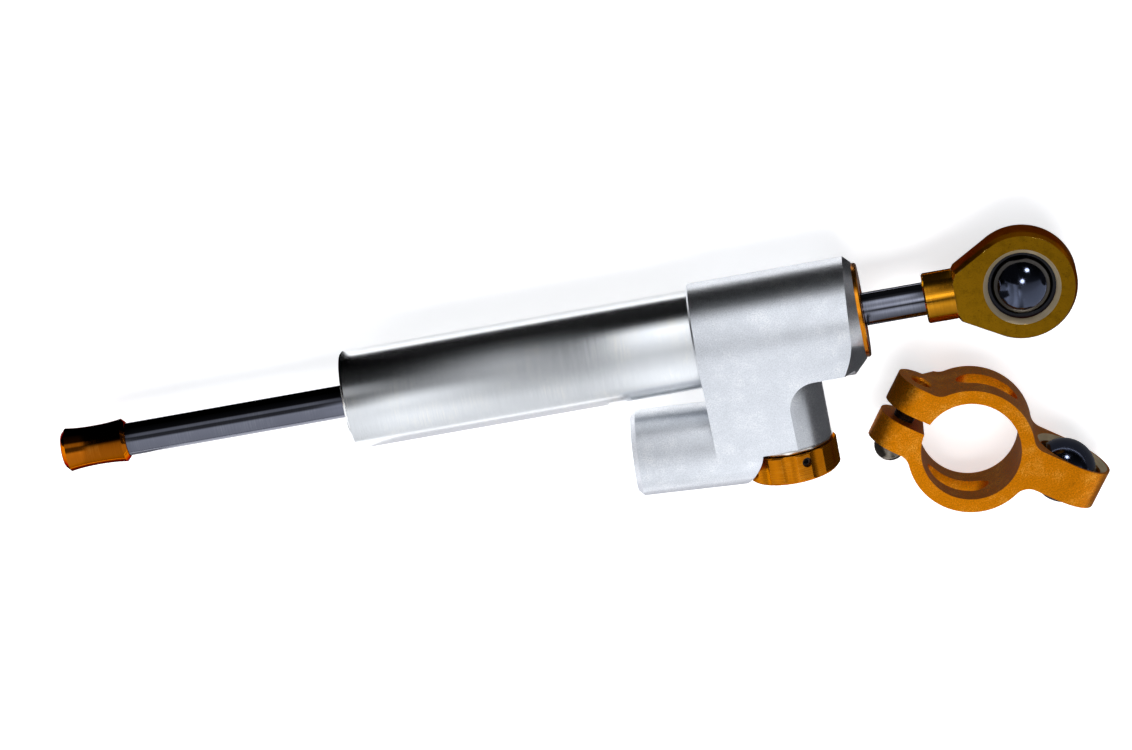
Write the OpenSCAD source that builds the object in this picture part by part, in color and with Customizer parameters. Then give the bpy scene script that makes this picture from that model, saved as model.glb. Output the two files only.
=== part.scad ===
// Steering damper: a through-rod hydraulic cylinder with an adjuster, a reservoir and a frame clamp.
// The cylinder lies along X, +Z is up and the origin is the middle of the tube's clamp seat.

/* [Cylinder tube] */
// Outside diameter of the tube
tube_d = 30; // [28:0.5:32]
// Length of the full round seat between the end chamfer and the head block
tube_seat_l = 105.8; // [100:0.2:120]
// Diameter of the bore that the piston runs in
tube_bore_d = 25; // [24:0.1:25.4]
// Chamfer at the free end of the tube
tube_chamfer = 0.8; // [0.4:0.1:1.5]
// Outside diameter of the spigot that enters the head block
spigot_d = 28; // [27.4:0.1:28.4]
// Length of that spigot
spigot_l = 9; // [7:0.5:11]

/* [Rod] */
// Diameter of the chromed rod
rod_d = 10; // [9:0.1:11]
// Rod in view between the tube and the tip
rod_show_tip = 68.4; // [66:0.2:90]
// Rod in view between the head cap and the eye
rod_show_eye = 18.5; // [17:0.1:30]
// Diameter of the reduced ends that carry the tip and the eye
rod_end_d = 8; // [7:0.1:8.4]
// Length of each reduced end
rod_end_l = 12; // [10:0.5:13]
// Travel towards the tip from rest
travel_in = 15; // [10:0.5:15]
// Travel towards the eye from rest
travel_out = 60; // [50:0.5:60]

/* [Rod tip] */
// Length of the tip
tip_l = 20.1; // [17:0.1:24]
// Diameter at both ends of the tip
tip_d = 13.2; // [13:0.1:15]
// Diameter at the waist of the tip
tip_waist_d = 12; // [11.6:0.1:12.6]

/* [Rod eye] */
// Outside diameter of the eye
eye_d = 33.3; // [32.8:0.1:36]
// Thickness of the eye
eye_t = 12; // [11.8:0.1:13]
// Distance from the start of the neck to the middle of the ball
eye_reach = 29.2; // [28:0.2:34]
// Diameter of the neck
neck_d = 15.2; // [14.6:0.1:16]
// Length of the neck
neck_l = 9.1; // [8.5:0.1:10]
// Bevel round the edges of the eye, measured across its faces
eye_bevel = 0.9; // [0.5:0.1:1.2]
// The same bevel, measured down its rim
eye_rim_bevel = 2.4; // [1:0.1:3]

/* [Ball joints] */
// Diameter of each ball
ball_d = 19.6; // [19.2:0.1:20]
// Bore through each ball
ball_bore_d = 8; // [6:0.1:8.4]
// Outside diameter of each race
race_d = 24; // [23.6:0.1:24.6]
// Width of each race
race_w = 6.8; // [6.4:0.1:7.2]
// Inside diameter of the staked lip that shows round each race
lip_d = 20.4; // [20.2:0.1:21]
// Radial width of the bright flare outside that lip
lip_flare = 1.4; // [0.6:0.1:1.5]
// Depth of that flare below the face
lip_flare_l = 1.7; // [1:0.1:2.2]

/* [Head block] */
// Diameter of the sleeve round the tube's end
sleeve_d = 35.6; // [35:0.2:38]
// Length of the sleeve
sleeve_l = 49.6; // [49:0.2:56]
// Offset of the sleeve from the rod's axis towards the reservoir
sleeve_offset = 1; // [0.6:0.1:1.4]
// Radius of the sleeve's end face inside its bevel
sleeve_face_r = 14.6; // [14.4:0.1:15.2]
// Wall between the piston chamber and the head cap's bore
inner_wall_t = 14.4; // [13:0.2:16]
// Right edge of the web below the sleeve, from the sleeve's left face
web_l = 24.6; // [23:0.2:26]
// Radius of the concave end of the web
web_fillet_r = 8.4; // [7.4:0.2:10]
// Rise of that end past the sleeve's lower edge
web_rise = 3.9; // [2:0.1:4.5]

/* [Reservoir] */
// Outside diameter of the reservoir
reservoir_d = 26.2; // [25.6:0.2:27]
// Distance of its axis from the rod's axis, where the sleeve begins
reservoir_y = 33.6; // [33.4:0.1:35]
// How far it stands out past the sleeve's left face
reservoir_out = 24.8; // [20:0.2:26]
// Tilt of its axis in the plane of both cylinders
reservoir_tilt = 3.5; // [0:0.1:4]
// Diameter of its bore
reservoir_bore_d = 19; // [18:0.2:20]
// Depth of its bore
reservoir_bore_l = 29.4; // [28.4:0.2:30]
// Chamfer at its free end
reservoir_chamfer = 1.6; // [0.8:0.1:2]

/* [Adjuster] */
// Distance of the adjuster's axis from the sleeve's left face
adjuster_x = 21.8; // [21:0.1:23]
// Diameter of the boss
boss_d = 26; // [25:0.2:26.4]
// Distance of the boss's face from the rod's axis
boss_y = 36; // [35.5:0.1:38]
// Diameter of the collar under the boss
collar_d = 26.8; // [26:0.1:27.4]
// Thickness of the collar
collar_t = 0.9; // [0.7:0.1:1.2]
// Diameter of the knob
knob_d = 28.3; // [27.6:0.1:29]
// Height of the knob
knob_h = 8.8; // [8:0.1:10]
// Number of lobes round the knob
knob_lobes = 10; // [8:1:12]
// Angle of the grub screw round the knob, from straight up
grub_angle = 20; // [0:1:30]
// Diameter of the adjuster spindle
spindle_d = 6; // [5:0.1:6.4]

/* [Head cap] */
// Diameter of the cap's flange
cap_flange_d = 28.5; // [28.2:0.1:29]
// Thickness of the cap's flange
cap_flange_t = 1.4; // [1.2:0.1:2]
// Diameter of the cap's threaded body
cap_d = 26.4; // [25.4:0.1:26.6]

/* [Clamp] */
// Axial width of the clamp
clamp_w = 25; // [24:0.5:30]
// Radial wall of the ring
clamp_wall = 4.1; // [3.6:0.1:4.6]
// Clearance between the ring's bore and the tube
clamp_bore_clearance = 0.1; // [0.05:0.01:0.2]
// Width of the split
clamp_gap = 3.6; // [2.6:0.1:4]
// Thickness of each lug
lug_t = 8.9; // [8:0.1:9.4]
// Axial width of the lugs, flush with one face of the ring
lug_w = 17; // [14:0.5:20]
// Reach of the lugs from the ring's axis
lug_reach = 29.2; // [28.8:0.2:32]
// Offset of the split from the ring's axis
lug_offset = 0.6; // [0:0.1:1.5]
// Distance of the pinch screw from the lugs' outer ends
screw_inset = 7.5; // [6.8:0.1:7.7]
// Diameter of the pinch screw
screw_d = 6; // [5:0.1:6.2]
// Distance of the ear's ball from the ring's axis
ear_reach = 30; // [29.6:0.1:33]
// Offset of the ear's middle from the ring's axis
ear_offset = 3.1; // [0:0.1:3.6]
// Thickness of the ear
ear_t = 12; // [11.8:0.1:13]
// Radius of the fillets beside the ear and the lugs
clamp_fillet = 5; // [3:0.5:6]
// Turn of the clamp as it lies beside the damper
clamp_turn = -35.5; // [-40:0.5:-30]
// Place of the clamp's axis along X
clamp_x = 128.1; // [128.1:0.5:140]
// Place of the clamp's axis along Y
clamp_y = -47.7; // [-60:0.2:-47.5]

/* [Fits] */
// Radial clearance of parts that run in each other
run_gap = 0.03; // [0.02:0.01:0.05]
// Clearance between parts that are fixed together
seat_gap = 0.02; // [0.01:0.005:0.03]
// Least distance between the piston and its stops
stop_gap = 0.4; // [0.3:0.1:1]

/* [Hidden] */

// Fineness of round surfaces
$fn = 96;
// Overlap of a cutter past the face that it leaves
past = 1;

// Radii of the tube and the rod
tube_r = tube_d / 2;
bore_r = tube_bore_d / 2;
rod_r = rod_d / 2;
rod_end_r = rod_end_d / 2;

// Stations along the rod's axis
shoulder_x = tube_seat_l / 2;
tube_end_x = -shoulder_x - tube_chamfer;
tip_right_x = tube_end_x - rod_show_tip;
tip_left_x = tip_right_x - tip_l;
sleeve_right_x = shoulder_x + sleeve_l;
cap_face_x = sleeve_right_x + cap_flange_t;
neck_x = cap_face_x + rod_show_eye;
neck_right_x = neck_x + neck_l;
eye_x = neck_x + eye_reach;
spigot_right_x = shoulder_x + spigot_l;

// Rod guides: an outer wiper, a lip seal and a plain bush
wiper_l = 3;
seal_l = 4;
bush_l = 10;
seal_wall = 3;
bush_wall = 1.5;
guide_r = rod_r + seal_wall;
bush_r = rod_r + bush_wall;
rod_play = 0.6;
o_ring_r = 0.9;
o_groove_w = 2.2;
o_groove_land = 3;
o_groove_depth = 2 * o_ring_r + seat_gap;

// Gland at the free end of the tube, held by a circlip
circlip_t = 1.2;
circlip_depth = 0.9;
circlip_wall = 2.2;
gland_recess = 2;
gland_left_x = tube_end_x + gland_recess + circlip_t + seat_gap;
gland_l = 20;
gland_right_x = gland_left_x + gland_l;

// Piston, its band and the two rings that hold it on the rod
rod_ring_t = 1;
rod_ring_depth = 0.6;
rod_ring_wall = 2;
rod_ring_r = rod_r + rod_ring_wall;
piston_l = 18;
piston_gap = 0.3;
band_l = 8;
band_t = 1.8;
piston_set_l = piston_l + 2 * rod_ring_t;
piston_set_x = gland_right_x + stop_gap + travel_in;
piston_x = piston_set_x + rod_ring_t;
chamber_right_x = piston_set_x + piston_set_l + travel_out + stop_gap;

// Head block and cap
sleeve_r = sleeve_d / 2;
sleeve_edge = 0.5;
passage_play = 2;
passage_r = rod_r + passage_play;
cap_left_x = max(chamber_right_x, spigot_right_x) + inner_wall_t;
cap_r = cap_d / 2;
cap_edge = 0.4;
cap_relief_l = 1;

// Adjuster, which points along -Y
adjuster_axis_x = shoulder_x + adjuster_x;
boss_r = boss_d / 2;
knob_r = knob_d / 2;
collar_face_y = -boss_y - collar_t;
collar_taper = 0.3;
knob_gap = 0.35;
knob_top_y = collar_face_y - knob_gap;
knob_bottom_y = knob_top_y - knob_h;
knob_bevel = 0.9;
knob_edge = 0.4;
knob_floor = 2;
recess_gap = 1.05;
recess_r = knob_r + recess_gap;
lobe_share = 0.58;
lobe_margin = 2;
lobe_depth = 0.45;
spindle_r = spindle_d / 2;
spindle_flange_w = 2.6;
spindle_flange_r = spindle_r + spindle_flange_w;
spindle_flange_t = 2;
spindle_hole_y = -20;
spindle_play = 0.1;
needle_gap = 0.2;
needle_l = 1.2;
spindle_groove_w = 1.2;
spindle_ring_r = 0.44;
port_r = 1.5;
counterbore_gap = 0.4;
counterbore_r = spindle_flange_r + counterbore_gap;
counterbore_depth = 5;
collar_plug_l = counterbore_depth - spindle_flange_t - 2 * spindle_play;
detent_r = 1.25;
detent_place = 9.4;
detent_depth = 5;
detent_clicks = 18;
detent_gap = 0.05;
dimple_r = 0.8;
dimple_depth = 0.3;
grub_r = 1.5;
grub_depth = 2.8;
grub_recess = 1.4;
grub_socket = 1.5;
grub_socket_depth = 1.6;

// Reservoir, along its own tilted axis with its free end first
reservoir_r = reservoir_d / 2;
reservoir_bore_r = reservoir_bore_d / 2;
plug_l = 6;
plug_step = 0.6;
plug_key_r = 3;
plug_key_depth = 2.5;
float_l = 6;
float_groove_w = 2.2;
float_travel = 3;
float_stop = 1;
float_x = reservoir_bore_l - float_travel - float_l - float_stop;
spring_wire_r = 0.8;
spring_turns = 5;
spring_gap = 0.3;
spring_play = 1;

// Balls and races
ball_r = ball_d / 2;
race_r = race_d / 2;
lip_r = lip_d / 2;
ball_flat_r = 5.2;
ball_edge = 0.4;

// Web between the sleeve and the reservoir: its faces touch both round bodies
web_y = -reservoir_y - adjuster_x / 2 * tan(reservoir_tilt);
web_lean = asin((sleeve_r - reservoir_r) / (-web_y - sleeve_offset));
web_top = [-sleeve_offset - sleeve_r * sin(web_lean), sleeve_r * cos(web_lean)];
web_low = [web_y - reservoir_r * sin(web_lean), reservoir_r * cos(web_lean)];
web_edge_y = web_rise - sleeve_offset - sleeve_r;
web_edge_z = web_top[1] - (web_top[0] - web_edge_y) * tan(web_lean);

// Clamp, in its own frame with the ear along +X
clamp_bore_r = tube_r + clamp_bore_clearance;
clamp_r = clamp_bore_r + clamp_wall;
clamp_half = clamp_w / 2;
clamp_z = clamp_half - sleeve_r;
lug_y = clamp_gap / 2 + lug_t;
lug_half = lug_w / 2;
lug_z = clamp_half - lug_half;
lug_slope = 4;
screw_reach = lug_reach - screw_inset;
slot_l = 19.5;
slot_w = 9;
slot_turn = 98;
screw_head_r = 4.75;
screw_head_h = 5.4;
screw_l = 16;
screw_socket = 3;
screw_socket_depth = 1.6;
screw_hole_gap = 0.25;
screw_countersink = 0.6;

// Draws its children, which are made round Z, round the X axis
module along_x(x = 0) {
    translate([x, 0, 0]) rotate([0, 90, 0]) children();
}

// Draws its children, which are made round Z, along -Y on the adjuster's axis from height y
module along_adjuster(y = 0) {
    translate([adjuster_axis_x, y, 0]) rotate([90, 0, 0]) children();
}

// Draws its children, made along X from the reservoir's free end, on the reservoir's axis
module along_reservoir() {
    translate([shoulder_x, -reservoir_y, 0]) rotate([0, 0, -reservoir_tilt])
        translate([-reservoir_out, 0, 0]) children();
}

// Draws its children, made in the clamp's own frame, where the clamp lies
module place_clamp() {
    translate([clamp_x, clamp_y, clamp_z]) rotate([0, 0, clamp_turn]) children();
}

// A solid of revolution round X, from points of station and radius
module turned_x(points) {
    along_x() rotate_extrude() polygon([for (p = points) [p[1], p[0]]]);
}

// A ring round Z from radius a to radius b and height h
module ring(a, b, h) {
    difference() {
        cylinder(r = b, h = h);
        translate([0, 0, -past]) cylinder(r = a, h = h + 2 * past);
    }
}

// A round seal of section radius s whose middle line has radius r
module o_ring(r, s) {
    rotate_extrude() translate([r, 0]) circle(r = s, $fn = 32);
}

// A compression spring along Z: one tube on a helix, with its ends cut square to its path
module coil(r, wire, turns, length) {
    steps = 16;
    sides = 8;
    rings = steps * turns;
    pitch = (length - 2 * wire) / turns;
    slope = atan2(pitch, 360 * r * PI / 180);
    points = [for (i = [0 : rings], k = [0 : sides - 1])
        let (a = 360 * i / steps, b = 360 * k / sides,
            out = wire * cos(b), up = wire * sin(b))
        [(r + out) * cos(a) + up * sin(slope) * sin(a),
            (r + out) * sin(a) - up * sin(slope) * cos(a),
            wire + pitch * i / steps + up * cos(slope)]];
    walls = [for (i = [0 : rings - 1], k = [0 : sides - 1])
        let (n = (k + 1) % sides)
        each [[i * sides + k, (i + 1) * sides + n, i * sides + n],
            [i * sides + k, (i + 1) * sides + k, (i + 1) * sides + n]]];
    ends = [[for (k = [0 : sides - 1]) k],
        [for (k = [sides - 1 : -1 : 0]) rings * sides + k]];
    polyhedron(points, concat(walls, ends), convexity = 10);
}

module cylinder_tube() {
    color("silver") difference() {
        turned_x([[tube_end_x, 0], [tube_end_x, tube_r - tube_chamfer],
            [tube_end_x + tube_chamfer, tube_r], [shoulder_x, tube_r],
            [shoulder_x, spigot_d / 2], [spigot_right_x, spigot_d / 2], [spigot_right_x, 0]]);
        along_x(tube_end_x - past)
            cylinder(r = bore_r, h = spigot_right_x - tube_end_x + 2 * past);
        along_x(tube_end_x + gland_recess)
            cylinder(r = bore_r + circlip_depth, h = circlip_t + seat_gap);
    }
}

// Plate along the sleeve, from the line where its flat faces touch the sleeve to the point low
module web_plate(length, low) {
    translate([shoulder_x + past / 4, 0, 0]) rotate([90, 0, 90]) linear_extrude(height = length)
        polygon([[web_top[0], web_top[1]], [low[0], low[1]], [low[0], -low[1]], [web_top[0], -web_top[1]]]);
}

// Sleeve round the tube's end, with the web's flat carried along it, bevelled round the rod's axis at its right end
module sleeve_solid() {
    intersection() {
        union() {
            translate([0, -sleeve_offset, 0]) turned_x([[shoulder_x, 0],
                [shoulder_x, sleeve_r - sleeve_edge], [shoulder_x + sleeve_edge, sleeve_r],
                [sleeve_right_x, sleeve_r], [sleeve_right_x, 0]]);
            web_plate(sleeve_l, [web_edge_y, web_edge_z]);
        }
        turned_x([[shoulder_x - past, 0], [shoulder_x - past, 2 * sleeve_r],
            [sleeve_right_x + sleeve_face_r - 2 * sleeve_r, 2 * sleeve_r],
            [sleeve_right_x, sleeve_face_r], [sleeve_right_x, 0]]);
    }
}

module reservoir_solid() {
    end = reservoir_out + adjuster_x;
    along_reservoir() turned_x([[0, 0], [0, reservoir_r - reservoir_chamfer],
        [reservoir_chamfer, reservoir_r], [end, reservoir_r], [end, 0]]);
}

// Web that joins the sleeve to the reservoir, with flat faces and a concave right end
module web_solid() {
    right_x = shoulder_x + web_l;
    fillet_y = web_edge_y - web_fillet_r;
    intersection() {
        web_plate(web_l + web_fillet_r, web_low);
        difference() {
            translate([shoulder_x, web_y - reservoir_r, -sleeve_r])
                cube([web_l + web_fillet_r, reservoir_r - web_y, 2 * sleeve_r]);
            translate([right_x + web_fillet_r, fillet_y, -sleeve_r - past])
                cylinder(r = web_fillet_r, h = 2 * (sleeve_r + past));
            translate([right_x, fillet_y - 2 * reservoir_d, -sleeve_r - past])
                cube([2 * web_fillet_r, 2 * reservoir_d, 2 * (sleeve_r + past)]);
        }
    }
}

// Slanted drilling from the needle's seat to the inner end of the reservoir's bore
module oil_port() {
    start = [adjuster_axis_x, spindle_hole_y - port_r];
    run = [shoulder_x - reservoir_out + reservoir_bore_l - port_r - start[0],
        reservoir_bore_r - 2 * port_r - reservoir_y - start[1]];
    translate([start[0], start[1], 0]) rotate([0, 0, atan2(run[1], run[0])])
        along_x() cylinder(r = port_r, h = norm(run), $fn = 32);
}

// Passages and seats inside the head block
module head_cavities() {
    along_x(shoulder_x - past) cylinder(r = spigot_d / 2 + seat_gap, h = spigot_l + past);
    along_x(spigot_right_x - past)
        cylinder(r = bore_r, h = chamber_right_x - spigot_right_x + past);
    along_x(chamber_right_x - past)
        cylinder(r = passage_r, h = cap_left_x - chamber_right_x + 2 * past);
    along_x(cap_left_x)
        cylinder(r = cap_r + seat_gap, h = sleeve_right_x - cap_left_x + past);
    along_adjuster(0) cylinder(r = port_r, h = -spindle_hole_y + past);
    along_adjuster(spindle_hole_y) cylinder(r = spindle_r + run_gap, h = boss_y);
    along_adjuster(counterbore_depth - boss_y)
        cylinder(r = counterbore_r, h = counterbore_depth + past);
    along_adjuster(-boss_y - past) cylinder(r = recess_r, h = knob_h + boss_y);
    along_adjuster(-boss_y) cylinder(r = recess_r, h = knob_h + boss_y);
    along_adjuster(detent_depth - boss_y) translate([0, -detent_place, 0])
        cylinder(r = detent_r + seat_gap, h = detent_depth + past, $fn = 32);
    along_reservoir() along_x(-past)
        cylinder(r = reservoir_bore_r, h = reservoir_bore_l + past);
    oil_port();
}

module head_block() {
    color("gainsboro") difference() {
        union() {
            sleeve_solid();
            reservoir_solid();
            web_solid();
            along_adjuster(-sleeve_offset) cylinder(r = boss_r, h = boss_y - sleeve_offset);
        }
        head_cavities();
    }
}

// Bored and grooved carrier that guides the rod, its outer end at 0 and its inner end at l
module guide_carrier(r, l, flange_r, flange_t) {
    groove_x = l - o_groove_w - o_groove_land;
    difference() {
        union() {
            translate([0, 0, seat_gap]) cylinder(r = r, h = l - seat_gap);
            if (flange_t > 0) translate([0, 0, -flange_t]) union() {
                cylinder(r1 = flange_r - cap_edge, r2 = flange_r, h = cap_edge);
                translate([0, 0, cap_edge]) cylinder(r = flange_r, h = flange_t - cap_edge);
            }
            if (flange_t > 0) cylinder(r = r - cap_edge, h = cap_relief_l);
        }
        translate([0, 0, -flange_t - past])
            cylinder(r = guide_r, h = wiper_l + seal_l + past + flange_t);
        translate([0, 0, wiper_l + seal_l - past]) cylinder(r = bush_r, h = bush_l + past);
        cylinder(r = rod_r + rod_play, h = l + past);
        translate([0, 0, groove_x]) difference() {
            cylinder(r = r + past, h = o_groove_w);
            translate([0, 0, -past])
                cylinder(r = r - o_groove_depth, h = o_groove_w + 2 * past);
        }
    }
}

// Places its children, drawn as in guide_carrier, at the gland
module at_gland() {
    along_x(gland_left_x) children();
}

// Places its children, drawn as in guide_carrier, at the head cap
module at_cap() {
    translate([sleeve_right_x, 0, 0]) rotate([0, -90, 0]) children();
}

module guide_wiper(z0) {
    translate([0, 0, z0]) ring(rod_r + run_gap, guide_r - seat_gap, wiper_l - seat_gap);
}

module guide_seal() {
    translate([0, 0, wiper_l]) ring(rod_r + run_gap, guide_r - seat_gap, seal_l - seat_gap);
}

module guide_bush() {
    translate([0, 0, wiper_l + seal_l])
        ring(rod_r + run_gap, bush_r - seat_gap, bush_l - seat_gap);
}

module guide_o_ring(r, l) {
    translate([0, 0, l - o_groove_w / 2 - o_groove_land])
        o_ring(r - o_ring_r - seat_gap / 2, o_ring_r);
}

module tube_gland() {
    color("dimgray") at_gland() guide_carrier(bore_r - seat_gap, gland_l, 0, 0);
}

module gland_circlip() {
    gap_w = 5;
    color("darkgray") along_x(tube_end_x + gland_recess + seat_gap / 2) difference() {
        ring(bore_r - circlip_wall, bore_r + circlip_depth - seat_gap, circlip_t);
        translate([-gap_w / 2, 0, -past]) cube([gap_w, tube_r, circlip_t + 2 * past]);
    }
}

module head_cap() {
    color("goldenrod") at_cap()
        guide_carrier(cap_r, sleeve_right_x - cap_left_x - seat_gap, cap_flange_d / 2, cap_flange_t);
}

module gland_bush() { color("peru") at_gland() guide_bush(); }

module cap_bush() { color("peru") at_cap() guide_bush(); }

module gland_seal() { color("darkslategray") at_gland() guide_seal(); }

module cap_seal() { color("darkslategray") at_cap() guide_seal(); }

module gland_wiper() { color("black") at_gland() guide_wiper(0); }

module cap_wiper() { color("black") at_cap() guide_wiper(0); }

module gland_o_ring() { color("black") at_gland() guide_o_ring(bore_r, gland_l); }

module cap_o_ring() {
    color("black") at_cap() guide_o_ring(cap_r + seat_gap, sleeve_right_x - cap_left_x - seat_gap);
}

module damper_rod() {
    groove_r = rod_r - rod_ring_depth;
    left_ring_x = piston_set_x;
    right_ring_x = piston_set_x + piston_set_l - rod_ring_t;
    color("lightsteelblue") difference() {
        turned_x([[tip_right_x - rod_end_l, 0], [tip_right_x - rod_end_l, rod_end_r],
            [tip_right_x, rod_end_r], [tip_right_x, rod_r], [neck_x, rod_r],
            [neck_x, rod_end_r], [neck_x + rod_end_l, rod_end_r], [neck_x + rod_end_l, 0]]);
        for (x = [left_ring_x, right_ring_x])
            along_x(x) ring(groove_r, rod_r + past, rod_ring_t);
    }
}

module piston() {
    band_x = piston_x + (piston_l - band_l) / 2;
    color("gray") difference() {
        along_x(piston_x) cylinder(r = bore_r - piston_gap, h = piston_l);
        along_x(piston_x - past) cylinder(r = rod_r + seat_gap, h = piston_l + 2 * past);
        along_x(band_x) ring(bore_r - band_t, tube_r, band_l);
    }
}

module piston_band() {
    band_x = piston_x + (piston_l - band_l) / 2;
    color("saddlebrown") along_x(band_x + run_gap)
        ring(bore_r - band_t + run_gap, bore_r - run_gap, band_l - 2 * run_gap);
}

module piston_circlips() {
    gap_w = 4;
    color("darkgray") for (x = [piston_set_x, piston_set_x + piston_set_l - rod_ring_t])
        along_x(x + seat_gap / 2) difference() {
            ring(rod_r - rod_ring_depth + seat_gap, rod_ring_r, rod_ring_t - seat_gap);
            translate([-gap_w / 2, 0, -past]) cube([gap_w, tube_r, rod_ring_t + 2 * past]);
        }
}

// Radius of the tip at share t of its length, between its chamfers: a shallow waist
function tip_radius(t) = tip_waist_d / 2 + (tip_d - tip_waist_d) / 2 * pow(abs(2 * t - 1), 2.4);

module rod_tip() {
    left_bevel = 1.6;
    right_bevel = 1.2;
    steps = 14;
    body_l = tip_l - left_bevel - right_bevel;
    waist = [for (i = [0 : steps])
        [tip_left_x + left_bevel + body_l * i / steps, tip_radius(i / steps)]];
    color("goldenrod") difference() {
        turned_x(concat([[tip_left_x, 0], [tip_left_x, tip_d / 2 - left_bevel]], waist,
            [[tip_right_x, tip_d / 2 - right_bevel], [tip_right_x, 0]]));
        along_x(tip_right_x - rod_end_l - seat_gap)
            cylinder(r = rod_end_r + seat_gap, h = rod_end_l + past);
    }
}

// Seat of a race along Z: a groove that the race fills, with a staked lip at each side
module race_seat(thickness) {
    translate([0, 0, -race_w / 2]) cylinder(r = race_r, h = race_w);
    translate([0, 0, -thickness / 2 - past]) cylinder(r = lip_r, h = thickness + 2 * past);
    for (side = [0, 180]) rotate([side, 0, 0]) translate([0, 0, thickness / 2 - lip_flare_l])
        cylinder(r1 = lip_r, r2 = lip_r + 2 * lip_flare, h = 2 * lip_flare_l);
}

// Race along Z, with a spherical inside
module race() {
    difference() {
        translate([0, 0, seat_gap - race_w / 2])
            cylinder(r = race_r - seat_gap, h = race_w - 2 * seat_gap);
        sphere(r = ball_r + run_gap);
    }
}

// Ball with its bore and its poles along X
module ball() {
    half = sqrt(pow(ball_r, 2) - pow(ball_flat_r, 2));
    bore = ball_bore_d / 2;
    along_x() difference() {
        sphere(r = ball_r);
        translate([0, 0, -ball_r]) cylinder(r = bore, h = 2 * ball_r);
        for (side = [0, 180]) rotate([side, 0, 0]) {
            translate([0, 0, half]) cylinder(r = ball_r, h = ball_r);
            translate([0, 0, half - ball_edge])
                cylinder(r1 = bore, r2 = bore + 2 * ball_edge, h = 2 * ball_edge);
        }
    }
}

// Flat-sided flare from the neck to the eye, narrow end first, with bevelled edges
module flare(from_x, half_w, to_x, to_half_w) {
    function section(x, w) = [for (p = [[w, 1], [w - eye_bevel, 0]], s = [-1, 1], u = [-1, 1])
        [x, s * p[0], u * (eye_t / 2 - p[1] * eye_rim_bevel)]];
    corners = concat(section(from_x, half_w), section(to_x, to_half_w));
    hull() polyhedron(corners, [for (i = [0 : len(corners) - 3]) [i, i + 1, i + 2]]);
}

module rod_eye() {
    r = eye_d / 2;
    inset = 0.03;
    neck_edge = 0.5;
    neck_r = neck_d / 2;
    shoulder_slope = 1.5;
    reach = eye_x - neck_right_x;
    distance = sqrt(pow(reach, 2) + pow(neck_r, 2));
    lean = acos((r - inset) / distance) + atan2(neck_r, reach);
    touch_x = eye_x - (r - inset) * cos(lean);
    touch_y = (r - inset) * sin(lean);
    side_rise = (touch_y - neck_r) / (touch_x - neck_right_x);
    color("goldenrod") difference() {
        union() {
            translate([eye_x, 0, 0]) rotate_extrude() polygon([[0, -eye_t / 2],
                [r - eye_bevel, -eye_t / 2], [r, eye_rim_bevel - eye_t / 2],
                [r, eye_t / 2 - eye_rim_bevel], [r - eye_bevel, eye_t / 2], [0, eye_t / 2]]);
            intersection() {
                flare(neck_right_x - past, neck_r - past * side_rise, touch_x, touch_y);
                turned_x([[neck_right_x - past, 0], [neck_right_x - past, neck_r - past * shoulder_slope],
                    [eye_x, neck_r + reach * shoulder_slope], [eye_x, 0]]);
            }
            turned_x([[neck_x, 0], [neck_x, neck_r - neck_edge], [neck_x + neck_edge, neck_r],
                [neck_right_x, neck_r], [neck_right_x, 0]]);
        }
        translate([eye_x, 0, 0]) race_seat(eye_t);
        along_x(neck_x - past)
            cylinder(r = rod_end_r + seat_gap, h = rod_end_l + past + seat_gap);
    }
}

module eye_race() { color("silver") translate([eye_x, 0, 0]) race(); }

module eye_ball() { color("dimgray") translate([eye_x, 0, 0]) rotate([0, 0, 90]) ball(); }

module reservoir_plug() {
    color("silver") along_reservoir() difference() {
        along_x(plug_step) cylinder(r = reservoir_bore_r - seat_gap, h = plug_l);
        along_x(plug_step - past) cylinder(r = plug_key_r, h = past + plug_key_depth, $fn = 6);
    }
}

module floating_piston() {
    groove_x = float_x + (float_l - float_groove_w) / 2;
    color("gray") along_reservoir() difference() {
        along_x(float_x) cylinder(r = reservoir_bore_r - run_gap, h = float_l);
        along_x(groove_x)
            ring(reservoir_bore_r - o_groove_depth, reservoir_bore_r + past, float_groove_w);
    }
}

module floating_o_ring() {
    color("black") along_reservoir() along_x(float_x + float_l / 2)
        o_ring(reservoir_bore_r - o_ring_r - run_gap, o_ring_r - seat_gap);
}

module reservoir_spring() {
    left = plug_step + plug_l + spring_gap;
    color("slategray") along_reservoir() along_x(left)
        coil(reservoir_bore_r - spring_wire_r - spring_play, spring_wire_r, spring_turns,
            float_x - spring_gap - left);
}

// Middle of the spindle's groove and its o-ring
function spindle_ring_y() = (spindle_hole_y + counterbore_depth - boss_y) / 2;

module adjuster_spindle() {
    needle_y = spindle_hole_y - needle_gap;
    end_y = knob_bottom_y + knob_floor + seat_gap;
    color("lightgray") difference() {
        union() {
            along_adjuster() rotate_extrude() polygon([[0, -needle_y], [port_r - needle_gap, -needle_y],
                [spindle_r, needle_l - needle_y], [spindle_r, -end_y], [0, -end_y]]);
            along_adjuster(counterbore_depth - boss_y - spindle_play)
                cylinder(r = spindle_flange_r, h = spindle_flange_t);
        }
        along_adjuster(spindle_ring_y() + spindle_groove_w / 2)
            ring(spindle_r - 2 * spindle_ring_r - seat_gap, spindle_r + past, spindle_groove_w);
    }
}

module spindle_o_ring() {
    color("black") along_adjuster(spindle_ring_y())
        o_ring(spindle_r - spindle_ring_r, spindle_ring_r);
}

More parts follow.
